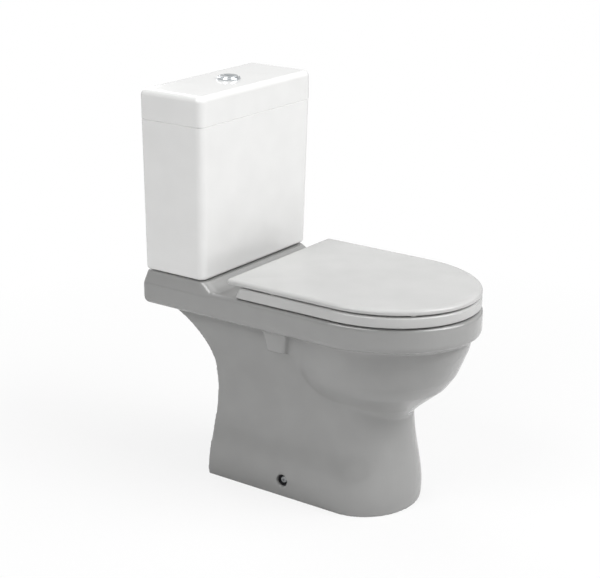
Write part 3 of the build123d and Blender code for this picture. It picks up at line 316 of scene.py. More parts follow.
@dataclass(frozen=True)
class DrawnSteel(GrainedFinish):
    """Stainless steel, drawn or cold headed, as on bolts, springs and pins.

    To the eye: a grey satin with short streaks along the piece.
    """

    colour: str = "#A9ABAD"
    shade: str = "#8B8D8F"
    roughness: tuple[float, float] = (0.24, 0.42)
    grain_mm: float = 0.7
    depth_mm: float = 0.02
    strength: float = 0.12
    along: tuple[float, float, float] = (1.0, 1.0, 0.15)
    metallic: float = 1.0


@dataclass(frozen=True)
class SealRubber(GrainedFinish):
    """Moulded rubber of the seals, buffers and cone washers.

    To the eye: a dull skin with a fine bloom, hardly any highlight.
    """

    roughness: tuple[float, float] = (0.62, 0.80)
    grain_mm: float = 1.2
    depth_mm: float = 0.05
    strength: float = 0.25
    detail: float = 3.0


class Finish(Enum):
    """The finishes of the toilet, one for each material slot of the record."""

    # each china's second colour is its slow tone and the painted shade in its creases
    PAN_GLAZE = GlazedChina("grey_glazed_china", "#9E9E9D", "#8F8F8E")
    CISTERN_GLAZE = GlazedChina("white_glazed_china", "#EEEEED", "#E1E1E0")
    SEAT_PLASTIC = MouldedPlastic("seat_thermoset", "#C6C6C5", "#C1C1C0", (0.20, 0.27),
                                  grain_mm=4.0, depth_mm=0.03, strength=0.06)
    BUFFER_RUBBER = SealRubber("buffer_elastomer", "#B9B9B6", "#AFAFAB")
    HINGE_METAL = PolishedChrome("hinge_chrome")
    BUSH_PLASTIC = MouldedPlastic("bush_acetal", "#DAD9D4", "#D2D1CC", (0.38, 0.50))
    NUT_PLASTIC = MouldedPlastic("nut_polypropylene", "#CFCFCA", "#C4C4BF", (0.40, 0.55))
    BUTTON_CHROME = PolishedChrome("key_chrome")
    SPRING_STEEL = DrawnSteel("spring_wire")
    FIXING_STEEL = DrawnSteel("fixing_stainless", "#B0B2B4", "#96989A")
    VALVE_PLASTIC = MouldedPlastic("valve_abs", "#E2E2DE", "#D9D9D4", (0.36, 0.48))
    LEVER_PLASTIC = MouldedPlastic("lever_acetal_blue", "#4E6C8C", "#47647F", (0.36, 0.50))
    FLOAT_PLASTIC = MouldedPlastic("float_polystyrene", "#B6BAC0", "#ABB0B6", (0.42, 0.56))
    SEAL_RUBBER = SealRubber("seal_epdm", "#232323", "#303030")
    BRACKET_PLASTIC = MouldedPlastic("bracket_nylon", "#2A2A2C", "#333335", (0.42, 0.58))

    @property
    def slot(self) -> str:
        """The record's material slot."""
        return self.name.lower()


MATERIALS = {finish: finish.value.material() for finish in Finish}


# Meshes

def added(name: str, data: bpy.types.ID) -> bpy.types.Object:
    """A new object in the scene that holds some data."""
    piece = bpy.data.objects.new(name, data)
    bpy.context.scene.collection.objects.link(piece)
    return piece


def spaced(count: int, whole: float = 2 * math.pi) -> np.ndarray:
    """Evenly spaced values from 0 to a whole turn or share, which is left out."""
    return whole * np.arange(count) / count


def piecewise(share: np.ndarray, marks: Sequence[float],
              runs: Sequence[tuple[Any, Any]]) -> np.ndarray:
    """Join runs of an outline, each over its own stretch of the share.

    Args:
        share: places along the outline, from 0 to 1.
        marks: where each run starts, and the last one's end.
        runs: for each run, two functions that turn 0 to 1 into x and y.

    Returns:
        The points, with x and y as the last axis.
    """
    sides = []
    for low, high, (fx, fy) in zip(marks[:-1], marks[1:], runs):
        t = np.clip((share - low) / (high - low), 0.0, 1.0)
        inside = (share >= low) & (share < high)
        sides.append((inside, fx(t), fy(t)))
    shape = np.broadcast_shapes(*(array.shape for side in sides for array in side))
    inside, x, y = ([np.broadcast_to(side[i], shape) for side in sides] for i in range(3))
    return np.stack([np.select(inside, x), np.select(inside, y)], axis=-1)


def lifted(flat: np.ndarray, height: np.ndarray) -> np.ndarray:
    """Give points by row and column the height of their row."""
    upright = np.broadcast_to(np.asarray(height, float).reshape(-1, 1, 1), (*flat.shape[:2], 1))
    return np.concatenate([flat, upright], axis=-1)


def d_outline(share: np.ndarray, half_width: np.ndarray, centre_y: float, front_y: np.ndarray,
              rear_y: np.ndarray, corner: np.ndarray) -> np.ndarray:
    """Outline of a seat: half an ellipse in front, straight sides and a rounded rear edge.

    The half ellipse is x = half_width cos a, y = centre_y + (centre_y - front_y) sin a for a from
    pi to 2 pi, and the corners are quarter circles.

    Args:
        share: places along the outline, one for each column.
        half_width: half the width, one for each row.
        centre_y: where the ellipse meets the straight sides.
        front_y: the foremost place, one for each row.
        rear_y: the rear edge, one for each row.
        corner: the rear corners' radius, one for each row.

    Returns:
        Points by row and column, counter-clockwise from -X, where front and side meet.
    """
    half_width, front_y, rear_y, corner = (
        np.asarray(v, float).reshape(-1, 1) for v in (half_width, front_y, rear_y, corner))
    side = rear_y - corner - centre_y
    right = half_width - corner
    quarter = math.pi / 2
    return piecewise(share[None, :], SEAT_MARKS, (
        (lambda t: half_width * np.cos(math.pi * (1 + t)),
         lambda t: centre_y + (centre_y - front_y) * np.sin(math.pi * (1 + t))),
        (lambda t: half_width + 0 * t, lambda t: centre_y + side * t),
        (lambda t: right + corner * np.cos(quarter * t),
         lambda t: rear_y - corner + corner * np.sin(quarter * t)),
        (lambda t: right * (1 - 2 * t), lambda t: rear_y + 0 * t),
        (lambda t: -right - corner * np.sin(quarter * t),
         lambda t: rear_y - corner + corner * np.cos(quarter * t)),
        (lambda t: -half_width + 0 * t, lambda t: rear_y - corner - side * t),
    ))


def skin(name: str, grid: np.ndarray, capped: bool = False) -> bpy.types.Object:
    """Mesh a grid of points whose columns close on themselves.

    Point (r, c) is joined to (r, c + 1), (r + 1, c + 1) and (r + 1, c), so rows that run up the
    outside of a piece, with columns counter-clockwise from above, face outwards.

    Args:
        name: the object's name.
        grid: points in millimetres, rows by columns by three.
        capped: close the first and the last row, each with a fan around its mean point. Otherwise
            the last row is joined to the first, as on a ring.

    Returns:
        The object, smooth shaded, at the origin.
    """
    rows, columns = grid.shape[:2]
    index = np.arange(rows * columns).reshape(rows, columns)
    lower, upper = (index[:-1], index[1:]) if capped else (index, np.roll(index, -1, axis=0))
    quads = np.stack([lower, np.roll(lower, -1, axis=1), np.roll(upper, -1, axis=1), upper],
                     axis=-1)
    points = grid.reshape(-1, 3)
    fans = []
    for row in (0, rows - 1) if capped else ():
        ring = index[row][::-1] if row else index[row]
        pole = np.full(columns, len(points))
        fans.append(np.stack([pole, np.roll(ring, -1), ring], axis=-1))
        points = np.vstack([points, grid[row].mean(axis=0)])
    faces = quads.reshape(-1, 4).tolist() + [fan for block in fans for fan in block.tolist()]
    mesh = bpy.data.meshes.new(name)
    mesh.from_pydata((points * MM).tolist(), [], faces)
    mesh.shade_smooth()
    mesh.update()
    return added(name, mesh)


def arc(centre: Sequence[float], radius: Sequence[float], start: float, end: float,
        steps: int) -> np.ndarray:
    """Points of an elliptic arc, (cx + rx cos a, cy + ry sin a), for angles in degrees."""
    turn = np.radians(np.linspace(start, end, steps))
    return np.stack([centre[0] + radius[0] * np.cos(turn), centre[1] + radius[1] * np.sin(turn)],
                    axis=-1)


def sharpened(piece: bpy.types.Object, degrees: float = 32.0) -> bpy.types.Object:
    """Shade a mesh smooth except across edges that turn by more than an angle."""
    piece.data.shade_smooth()
    piece.data.set_sharp_from_angle(angle=math.radians(degrees))
    return piece


def dress(piece: bpy.types.Object, finish: Finish) -> None:
    """Give a piece one finish on all its faces.

    Args:
        piece: the mesh object.
        finish: the finish.
    """
    piece.data.materials.clear()
    piece.data.materials.append(MATERIALS[finish])
    piece.data.polygons.foreach_set("material_index", np.zeros(len(piece.data.polygons), np.int32))
    piece.data.update()


def place(piece: bpy.types.Object, finish: Finish, body: str, *nodes: str) -> bpy.types.Object:
    """Dress a new piece, let it ride on a body and stand for CAD nodes.

    Args:
        piece: the finished mesh object.
        finish: its finish, which is also its material slot.
        body: the body it moves with.
        nodes: the nodes it replaces, if any.

    Returns:
        The piece.
    """
    dress(piece, finish)
    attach(piece, body)
    if nodes:
        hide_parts(*nodes)
    log.info("%s rides on %s, %d faces", piece.name, body, len(piece.data.polygons))
    return piece


def copy_of(node: str, name: str) -> bpy.types.Object:
    """A copy of a CAD node with its loose triangles merged.

    Args:
        node: the CAD node.
        name: the new object's name.

    Returns:
        The copy, which rides on nothing yet.
    """
    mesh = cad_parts[node].data.copy()
    mesh.name = name
    piece = added(name, mesh)
    weld = piece.modifiers.new("weld", "WELD")
    weld.merge_threshold = WELD_MM * MM
    return baked(piece)


def baked(piece: bpy.types.Object) -> bpy.types.Object:
    """Apply a piece's modifiers to its mesh.

    Args:
        piece: the mesh object.

    Returns:
        The same object, with a new mesh.
    """
    graph = bpy.context.evaluated_depsgraph_get()
    mesh = bpy.data.meshes.new_from_object(piece.evaluated_get(graph))
    piece.modifiers.clear()
    old, piece.data = piece.data, mesh
    bpy.data.meshes.remove(old)
    return piece


def vertices(mesh: bpy.types.Mesh) -> np.ndarray:
    """A mesh's vertices in millimetres, one by row."""
    flat = np.empty(len(mesh.vertices) * 3)
    mesh.vertices.foreach_get("co", flat)
    return flat.reshape(-1, 3) / MM


# Sub-assemblies

@dataclass
class Pan:
    """The pan, one casting: its edges and creases are as soft as slip and glaze leave them."""

    voxel: float = 2.6
    faces: int = 170_000
    smoothing: float = 0.5
    all_rounds: int = 6
    crease_rounds: int = 34
    crease_reach: float = 15.0
    crease_levels: int = 10
    crease_steps: int = 60
    # where the crease's share begins and over how far it grows, to the side and to the front
    crease_side: tuple[float, float] = (30.0, 20.0)
    crease_front: tuple[float, float] = (-170.0, 10.0)
    # y and z of the crease between bowl and pedestal, from the shelf's side to the front
    crease: tuple[tuple[float, float], ...] = (
        (-10.0, 345.0), (-11.0, 316.0), (-16.0, 286.0), (-24.0, 257.0), (-48.0, 229.0),
        (-79.0, 217.0), (-122.0, 213.0), (-156.0, 209.0), (-190.0, 203.0))
    bowl_centre_y: float = -96.0
    front_turn: tuple[float, float] = (0.2, 0.5)    # cosines: where the front begins, and its fade
    outer_turn: float = 0.3                         # cosine from which a face counts as outer
    # height, and how far the bowl's front is drawn in there; below zero it swells out
    relief: tuple[tuple[float, float], ...] = (
        (212.0, 0.0), (228.0, -2.5), (252.0, -8.0), (280.0, -5.0), (304.0, 2.5), (324.0, 8.0),
        (344.0, 10.0), (356.0, 10.0), (362.0, 6.0), (366.0, 0.0))

    def reshape_bowl(self, mesh: bpy.types.Mesh) -> None:
        """Draw the bowl's front in under the rim and round it out lower down.

        A point moves towards the bowl's axis by relief(z) f o, where f goes from 0 to 1 as the
        direction from the axis turns to the front, and o from 0 to 1 as the surface turns outwards.

        Args:
            mesh: the casting's mesh, whose points move.
        """
        points = vertices(mesh)
        normals = np.empty(len(mesh.vertices) * 3)
        mesh.vertex_normals.foreach_get("vector", normals)
        normals = normals.reshape(-1, 3)
        away = points[:, :2] - (0.0, self.bowl_centre_y)
        away /= np.maximum(np.linalg.norm(away, axis=1, keepdims=True), TINY)
        front = np.clip((-away[:, 1] - self.front_turn[0]) / self.front_turn[1], 0, 1)
        outer = np.clip((normals[:, :2] * away).sum(axis=1) / self.outer_turn, 0, 1)
        heights, insets = np.array(self.relief).T
        shift = np.interp(points[:, 2], heights, insets) * front * front * (3 - 2 * front) * outer
        points[:, :2] -= away * shift[:, None]
        mesh.vertices.foreach_set("co", (points * MM).ravel())
        mesh.update()

    def crease_share(self, points: np.ndarray) -> np.ndarray:
        """How much each point lies in the crease.

        The share is exp(-(d / reach) ** 2), where d is the distance in the side view to the
        nearest of some points along the crease's line.

        Args:
            points: the casting's points.

        Returns:
            One share for each point, from 0 to 1.
        """
        line = np.array(self.crease)
        steps = np.linspace(0, len(line) - 1, self.crease_steps)
        along = np.stack([np.interp(steps, range(len(line)), line[:, i]) for i in (0, 1)], axis=-1)
        nearest = np.full(len(points), np.inf)
        for y, z in along:
            nearest = np.minimum(nearest, np.hypot(points[:, 1] - y, points[:, 2] - z))
        outside = np.clip((np.abs(points[:, 0]) - self.crease_side[0]) / self.crease_side[1], 0, 1)
        ahead = np.clip((self.crease_front[0] - points[:, 1]) / self.crease_front[1], 0, 1)
        outside = np.maximum(outside, ahead)
        return np.exp(-(nearest / self.crease_reach) ** 2) * outside

    def build(self) -> None:
        """Remesh a copy of the casting, round its bowl, soften it and thin its faces out."""
        piece = copy_of("pan", "pan_casting")
        remesh = piece.modifiers.new("slip", "REMESH")
        remesh.mode = "VOXEL"
        remesh.voxel_size = self.voxel * MM
        remesh.use_smooth_shade = True
        baked(piece)
        self.reshape_bowl(piece.data)
        group = piece.vertex_groups.new(name="crease")
        share = self.crease_share(vertices(piece.data))
        for level in range(1, self.crease_levels + 1):
            members = np.flatnonzero((share * self.crease_levels).round().astype(int) == level)
            group.add(members.tolist(), level / self.crease_levels, "REPLACE")
        for label, rounds, members in (("fettling", self.all_rounds, ""),
                                       ("crease", self.crease_rounds, group.name)):
            smooth = piece.modifiers.new(label, "SMOOTH")
            smooth.factor = self.smoothing
            smooth.iterations = rounds
            smooth.vertex_group = members
        baked(piece)
        thin = piece.modifiers.new("thin", "DECIMATE")
        triangles = 2 * len(piece.data.polygons)
        thin.ratio = min(1.0, self.faces / triangles)
        baked(piece)
        piece.vertex_groups.clear()
        piece.data.shade_smooth()
        place(piece, Finish.PAN_GLAZE, "fixed", "pan")


@dataclass
class Cistern:
    """The cistern and its lid, with the soft arrises of glazed china."""

    arris: float = 1.0
    arris_steps: int = 3
    arris_angle: float = 35.0    # edges that turn by more than this are rounded
    sharp_angle: float = 40.0    # and those that still turn by more than this stay sharp

    def soft_copy(self, node: str, name: str) -> None:
        """A merged copy of a node with its sharp edges rounded.

        Args:
            node: the CAD node.
            name: the new piece's name.
        """
        piece = copy_of(node, name)
        bevel = piece.modifiers.new("arris", "BEVEL")
        bevel.width = self.arris * MM
        bevel.segments = self.arris_steps
        bevel.limit_method = "ANGLE"
        bevel.angle_limit = math.radians(self.arris_angle)
        baked(piece)
        sharpened(piece, self.sharp_angle)
        level = piece.modifiers.new("level", "WEIGHTED_NORMAL")
        level.keep_sharp = True
        baked(piece)
        place(piece, Finish.CISTERN_GLAZE, "fixed", node)

    def build(self) -> None:
        """Build the tank and the lid."""
        self.soft_copy("cistern_tank", "cistern_casting")
        self.soft_copy("cistern_lid", "cistern_lid_casting")


@dataclass
class Seat:
    """Seat ring and lid, with the lugs that their hinges turn in."""

    half_width: float = 171.5
    centre_y: float = -124.0
    front_y: float = -319.5
    columns: int = 400
    least_corner: float = 1.0
    ring_low: float = 415.0
    ring_high: float = 436.0
    ring_rear: float = 98.0
    ring_slant: float = 11.0
    ring_corner: float = 9.0
    ring_foot: float = 3.0                              # rounding of both lower edges
    ring_belts: tuple[float, float] = (9.0, 7.0)        # a height on the outer and inner side
    ring_edge: tuple[float, float] = (6.0, 5.5)         # the outer upper edge, inwards and down
    ring_roll: tuple[float, float] = (11.0, 8.0)        # the inner upper edge, outwards and down
    ring_roll_drop: float = 1.5
    hole_half_width: float = 108.0
    hole_centre_y: float = -110.0
    hole_front: float = 146.0
    hole_rear: float = 130.0
    notch_depth: float = 11.0
    notch_half_width: float = 24.0
    notch_end: float = 4.0
    lid_low: float = 439.5
    lid_high: float = 451.5
    lid_rear: float = 116.5
    lid_corner: float = 8.5
    lid_edge: tuple[float, float] = (9.0, 6.6)          # the upper edge, inwards and down
    lid_foot: float = 1.6
    lid_crown: float = 1.6
    lid_border: float = 16.0
    lid_border_round: float = 0.8
    lid_hollow: float = 4.5
    lid_hollow_round: float = 2.0
    lid_rings: int = 24                                 # rows from the edge to the middle
    lid_reach: tuple[float, float] = (0.96, 0.04)       # shares at the first and the last of them
    hinge_block: float = 24.0    # the hollow's border is this much wider at the rear
    hinge_x: float = 77.5
    hinge_y: float = 102.0
    hinge_z: float = 430.0
    lug_offset: float = 14.0
    lug_width: float = 12.0
    lug_radius: float = 7.5
    lug_bore: float = 5.6
    lug_neck: float = 5.0
    lug_round: float = 0.9
    lug_columns: int = 120
    lug_sharp: float = 50.0
    ring_neck_end: float = 82.0    # how far forward the ring's necks reach, as y
    lid_neck_sink: float = 3.0     # how far the lid's necks reach into the lid

    def __post_init__(self) -> None:
        """Work out the columns' places along the outline."""
        self.share = spaced(self.columns, 1.0)

    def outer(self, inset: np.ndarray, rear: np.ndarray, corner: float) -> np.ndarray:
        """The seat's outline moved inwards.

        Args:
            inset: how far each row is moved in.
            rear: each row's rear edge before it is moved in.
            corner: the rear corners' radius.

        Returns:
            Points by row and column.
        """
        return d_outline(self.share, self.half_width - inset, self.centre_y, self.front_y + inset,
                         rear - inset, np.maximum(corner - inset, self.least_corner))

    def hole(self) -> np.ndarray:
        """The ring's inner outline by column: half an ellipse in front, and half a blunter one.

        It is x = half_width cos a, y = centre_y + front sin a for a from pi to 2 pi, over the front
        columns of d_outline, and the same with rear for front and a from 0 to pi.
        """
        return piecewise(self.share, (0.0, FRONT_SHARE, 1.0), (
            (lambda t: self.hole_half_width * np.cos(math.pi * (1 + t)),
             lambda t: self.hole_centre_y + self.hole_front * np.sin(math.pi * (1 + t))),
            (lambda t: self.hole_half_width * np.cos(math.pi * t),
             lambda t: self.hole_centre_y + self.hole_rear * np.sin(math.pi * t)),
        ))

    def ring(self) -> None:
        """The ring: a closed section carried round the seat, from its outer to its inner outline.

        A row is a place in the section. Its point is outer + (inner - outer) d / |inner - outer|
        for a distance d from the outer outline, or the same from the inner one.
        """
        low, high, foot = self.ring_low, self.ring_high, self.ring_foot
        edge, roll = self.ring_edge, self.ring_roll
        outer_side = np.vstack([
            arc((foot, low + foot), (foot, foot), 270, 180, steps=5),
            [[0.0, low + self.ring_belts[0]]],
            arc((edge[0], high - edge[1]), edge, 180, 90, steps=7),
        ])
        inner_side = np.vstack([
            arc((roll[0], high - self.ring_roll_drop - roll[1]), roll, 90, 180, steps=8),
            [[0.0, low + self.ring_belts[1]]],
            arc((foot, low + foot), (foot, foot), 180, 270, steps=5),
        ])
        heights = np.concatenate([outer_side[:, 1], inner_side[:, 1]])
        rear = self.ring_rear - self.ring_slant * (heights - low) / (high - low)
        outside = self.outer(np.zeros(len(heights)), rear, self.ring_corner)
        inside = self.hole()
        across = inside - outside
        across /= np.linalg.norm(across, axis=-1, keepdims=True)
        split = len(outer_side)
        flat = np.concatenate([outside[:split] + across[:split] * outer_side[:, :1, None],
                               inside - across[split:] * inner_side[:, :1, None]])
        grid = lifted(flat, heights)
        grid[..., 1] = np.minimum(grid[..., 1], self.rear_limit(grid[..., 0]))
        ring = skin("seat_ring_moulding", grid)
        place(ring, Finish.SEAT_PLASTIC, "seat", "seat_ring")

    def rear_limit(self, x: np.ndarray) -> np.ndarray:
        """The ring's rear edge with a notch at each hinge.

        The limit is rear - depth s, where s goes smoothly from 1 to 0 at the notch's end.
        """
        inner_half = self.notch_half_width - self.notch_end
        beyond = np.clip((np.abs(np.abs(x) - self.hinge_x) - inner_half) / self.notch_end, 0, 1)
        return self.ring_rear - self.notch_depth * (1 - beyond * beyond * (3 - 2 * beyond))

    def lid(self) -> None:
        """The lid: a shallow dome with a soft edge, hollow underneath.

        The dome's height over its edge is crown (1 - s * s), where s is 1 at the edge and 0 in the
        middle.
        """
        low, high = self.lid_low, self.lid_high
        shoulder = high - self.lid_crown
        border, ceiling = self.lid_border, low + self.lid_hollow
        inner, soft, foot = self.lid_hollow_round, self.lid_border_round, self.lid_foot
        underside = np.vstack([
            arc((border + inner, ceiling - inner), (inner, inner), 90, 180, steps=5),
            arc((border - soft, low + soft), (soft, soft), 0, -90, steps=4),
        ])
        outside = np.vstack([
            arc((foot, low + foot), (foot, foot), 270, 180, steps=5),
            arc((self.lid_edge[0], shoulder - self.lid_edge[1]), self.lid_edge, 180, 90, steps=10),
        ])
        inset, height = np.vstack([underside, outside]).T
        under = np.arange(len(inset)) < len(underside)
        edge = self.outer(inset, self.lid_rear - self.hinge_block * under, self.lid_corner)
        middle = np.array([0.0, (self.front_y + self.lid_rear) / 2])
        scale = np.linspace(*self.lid_reach, self.lid_rings)
        dome = middle + (edge[-1][None] - middle) * scale[:, None, None]
        roof = middle + (edge[0][None] - middle) * scale[::-1, None, None]
        grid = np.vstack([lifted(roof, np.full(self.lid_rings, ceiling)), lifted(edge, height),
                          lifted(dome, shoulder + self.lid_crown * (1 - scale ** 2))])
        lid = skin("seat_lid_moulding", grid, capped=True)
        place(lid, Finish.SEAT_PLASTIC, "lid", "seat_lid")

    def lug(self, name: str, x: float, neck: tuple[float, float], toward: float, body: str) -> None:
        """A hinge lug: a barrel round the pin with a neck to the moulding.

        Around the pin the outside is the further of the barrel's radius and of a box, which in the
        direction a reaches min(length / cos a, half_height / |sin a|).

        Args:
            name: the piece's name.
            x: the middle of the lug.
            neck: length and half height of the neck.
            toward: the neck's direction round the pin, in radians from +Y.
            body: the body it moves with.
        """
        turn = spaced(self.lug_columns)
        ahead, aside = np.cos(turn - toward), np.abs(np.sin(turn - toward))
        box = np.minimum(neck[0] / np.maximum(ahead, TINY), neck[1] / np.maximum(aside, TINY))
        outline = np.maximum(box * (ahead > 0), self.lug_radius)[None, :]
        half, soft = self.lug_width / 2, self.lug_round
        corner = arc((0.0, 0.0), (soft, soft), 180, 90, steps=4)
        along = np.concatenate([-half + soft + corner[:, 0], half - soft - corner[::-1, 0],
                                [half, -half]])
        drawn_in = np.concatenate([soft - corner[:, 1], soft - corner[::-1, 1]])
        radius = np.vstack([outline - drawn_in[:, None], np.full((2, len(turn)), self.lug_bore)])
        grid = np.stack([x + along[:, None] + 0 * radius, self.hinge_y + radius * np.cos(turn),
                         self.hinge_z + radius * np.sin(turn)], axis=-1)
        lug = sharpened(skin(name, grid), self.lug_sharp)
        place(lug, Finish.SEAT_PLASTIC, body)

    def build(self) -> None:
        """Build the ring, the lid and the four lugs."""
        self.ring()
        self.lid()
        for side, label in SIDES:
            self.lug(f"ring_lug_{label}", side * (self.hinge_x + self.lug_offset),
                     (self.hinge_y - self.ring_neck_end, self.lug_neck), math.pi, "seat")
            self.lug(f"lid_lug_{label}", side * (self.hinge_x - self.lug_offset),
                     (self.lid_low + self.lid_neck_sink - self.hinge_z, self.lug_radius),
                     math.pi / 2, "lid")


@dataclass
class FlushButton:
    """The round bezel in the cistern lid and its two chrome keys."""

    centre: tuple[float, float] = (0.0, 240.0)
    lid_top: float = 790.0
    bezel_radius: float = 23.5
    bezel_height: float = 5.0
    bezel_bore: float = 19.1
    bezel_roll: tuple[float, float] = (2.6, 3.4)      # the outer edge, inwards and down
    bezel_round: float = 0.7
    bezel_columns: int = 96
    bezel_sharp: float = 40.0
    sleeve_radius: float = 20.5
    sleeve_drop: float = 26.0
    sleeve_floor: float = 3.0
    sleeve_bore: float = 3.6
    key_radius: float = 18.8
    key_low: float = 787.0
    key_high: float = 797.0
    split_x: float = 4.0
    gap: float = 0.6
    dish: float = 1.1
    edge: float = 1.3
    foot: float = 0.3
    key_columns: int = 150
    arc_share: float = 0.66                           # of a key's columns, on its round side
    key_rings: int = 12
    key_reach: tuple[float, float] = (0.93, 0.05)     # shares at the first and the last of them
    key_sharp: float = 50.0

    def bezel(self) -> None:
        """The bezel: a ring with a rolled edge over a sleeve.

        Point (r, c) is centre + (radius_r cos a_c, radius_r sin a_c, height_r).
        """
        top, bottom = self.lid_top + self.bezel_height, self.lid_top - self.sleeve_drop
        roll, soft, floor = self.bezel_roll, self.bezel_round, bottom + self.sleeve_floor
        profile = np.vstack([
            [[self.sleeve_bore, bottom], [self.sleeve_radius, bottom],
             [self.sleeve_radius, self.lid_top], [self.bezel_radius, self.lid_top]],
            arc((self.bezel_radius - roll[0], top - roll[1]), roll, 0, 90, steps=8),
            arc((self.bezel_bore + soft, top - soft), (soft, soft), 90, 180, steps=4),
            [[self.bezel_bore, floor], [self.sleeve_bore, floor]],
        ])
        turn = spaced(self.bezel_columns)
        circle = np.stack([np.cos(turn), np.sin(turn)], axis=-1)
        grid = lifted(np.array(self.centre) + profile[:, :1, None] * circle, profile[:, 1])
        ring = skin("button_bezel_plated", grid)
        place(sharpened(ring, self.bezel_sharp), Finish.BUTTON_CHROME, "fixed", "button_bezel")

    def key(self, name: str, side: int, body: str, node: str) -> None:
        """One key: a segment of a disc with a soft edge and a dished top.

        The top's height is high - dish (1 - (r / R) ** 2), with r measured from the whole button's
        axis. The outline is an arc of radius R and the chord at the split.

        Args:
            name: the piece's name.
            side: -1 for the key at -X, 1 for the one at +X.
            body: the body it moves with.
            node: the CAD node it stands for.
        """
        chord = self.split_x + side * self.gap / 2
        share = spaced(self.key_columns, 1.0)
        soft = self.edge
        profile = np.vstack([[[self.foot, self.key_low], [0.0, self.key_low + self.foot]],
                             arc((soft, self.key_high - soft), (soft, soft), 180, 90, steps=6)])
        inset, height = profile[:, :1], profile[:, 1]
        radius, cut = self.key_radius - inset, chord + side * inset
        half = np.arccos(np.clip(side * cut / radius, -1, 1))
        reach = radius * np.sin(half)
        middle = 0.0 if side > 0 else math.pi
        edge = piecewise(share[None, :], (0.0, self.arc_share, 1.0), (
            (lambda t: radius * np.cos(middle - half + 2 * half * t),
             lambda t: radius * np.sin(middle - half + 2 * half * t)),
            (lambda t: cut + 0 * t, lambda t: side * reach * (1 - 2 * t)),
        ))
        hub = edge[-1].mean(axis=0)
        scale = np.linspace(*self.key_reach, self.key_rings)
        inner = hub + (edge[-1][None] - hub) * scale[:, None, None]
        flat_top = lifted(inner, np.full(self.key_rings, self.key_high))
        grid = np.vstack([lifted(edge, height), flat_top])
        from_axis = np.hypot(grid[..., 0], grid[..., 1]) / self.key_radius
        upper = grid[..., 2] > self.key_high - TINY
        grid[..., 2] -= upper * self.dish * np.clip(1 - from_axis ** 2, 0, 1)
        grid[..., :2] += np.array(self.centre)
        key = sharpened(skin(name, grid, capped=True), self.key_sharp)
        place(key, Finish.BUTTON_CHROME, body, node)

    def build(self) -> None:
        """Build the bezel and both keys."""
        self.bezel()
        self.key("full_flush_key_plated", -1, "full_button", "full_flush_button")
        self.key("half_flush_key_plated", 1, "half_button", "half_flush_button")


@dataclass
class SideCupShade:
    """The black wall of a cup washer lining a side hole round its screw, as painted shade in the
    hole.
    """

    outer_radius: float = 11.9
    inner_radius: float = 10.9
    depth: float = 5.4
    columns: int = 48

    def build(self, name: str, side: int) -> None:
        """A short tube on the washer.

        Point (r, c) is (x_r, y + radius_r cos a_c, z + radius_r sin a_c).

        Args:
            name: the piece's name.
            side: -1 for the hole at -X, 1 for the one at +X.
        """
        low, high = (np.array(corner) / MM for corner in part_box("side_screw_washers"))
        turn = side * spaced(self.columns)[None, :]
        radius = np.repeat([self.outer_radius, self.inner_radius], 2)[:, None]
        along = side * (high[0] + np.array([0.0, self.depth, self.depth, 0.0]))[:, None]
        middle = (low + high) / 2
        grid = np.stack([along + 0 * turn, middle[1] + radius * np.cos(turn),
                         middle[2] + radius * np.sin(turn)], axis=-1)
        # painted shade: the dark tube lines the hole, whose inside is in shade; only the washer is
        # real
        place(sharpened(skin(name, grid)), Finish.BRACKET_PLASTIC, "fixed")


@dataclass
class ReturnSpring:
    """The coil spring under a key."""

    wire: float = 0.45
    turns: float = 5.0
    rows: int = 150
    columns: int = 10
    travel: float = 7.0

    def build(self, name: str, node: str, joint: str) -> None:
        """Wind a round wire into a coil.

        For a turn a, the wire's middle is centre + (R cos a, R sin a, pitch a), and its skin is
        middle + wire (u cos b + v sin b), where u points away from the coil's axis and v is across
        both u and the wire.

        Args:
            name: the piece's name.
            node: the CAD node it stands for, whose box gives its place and height.
            joint: the key's joint; not used.
        """
        low, high = (np.array(corner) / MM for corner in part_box(node))
        centre = (low + high) / 2
        coil = (high[0] - low[0]) / 2 - self.wire
        rise = high[2] - low[2] - 2 * self.wire
        turn = np.linspace(0.0, 2 * math.pi * self.turns, self.rows)
        pitch = rise / turn[-1]
        away = np.stack([np.cos(turn), np.sin(turn), 0 * turn], axis=-1)
        along = np.stack([-coil * np.sin(turn), coil * np.cos(turn), pitch + 0 * turn], axis=-1)
        along /= np.linalg.norm(along, axis=-1, keepdims=True)
        across = np.cross(along, away)
        middle = coil * away + np.stack([centre[0] + 0 * turn, centre[1] + 0 * turn,
                                         low[2] + self.wire + pitch * turn], axis=-1)
        round_wire = spaced(self.columns)[None, :, None]
        grid = middle[:, None] + self.wire * (away[:, None] * np.cos(round_wire)
                                              + across[:, None] * np.sin(round_wire))
        piece = place(skin(name, grid, capped=True), Finish.SPRING_STEEL, "fixed", node)
        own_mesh(piece)


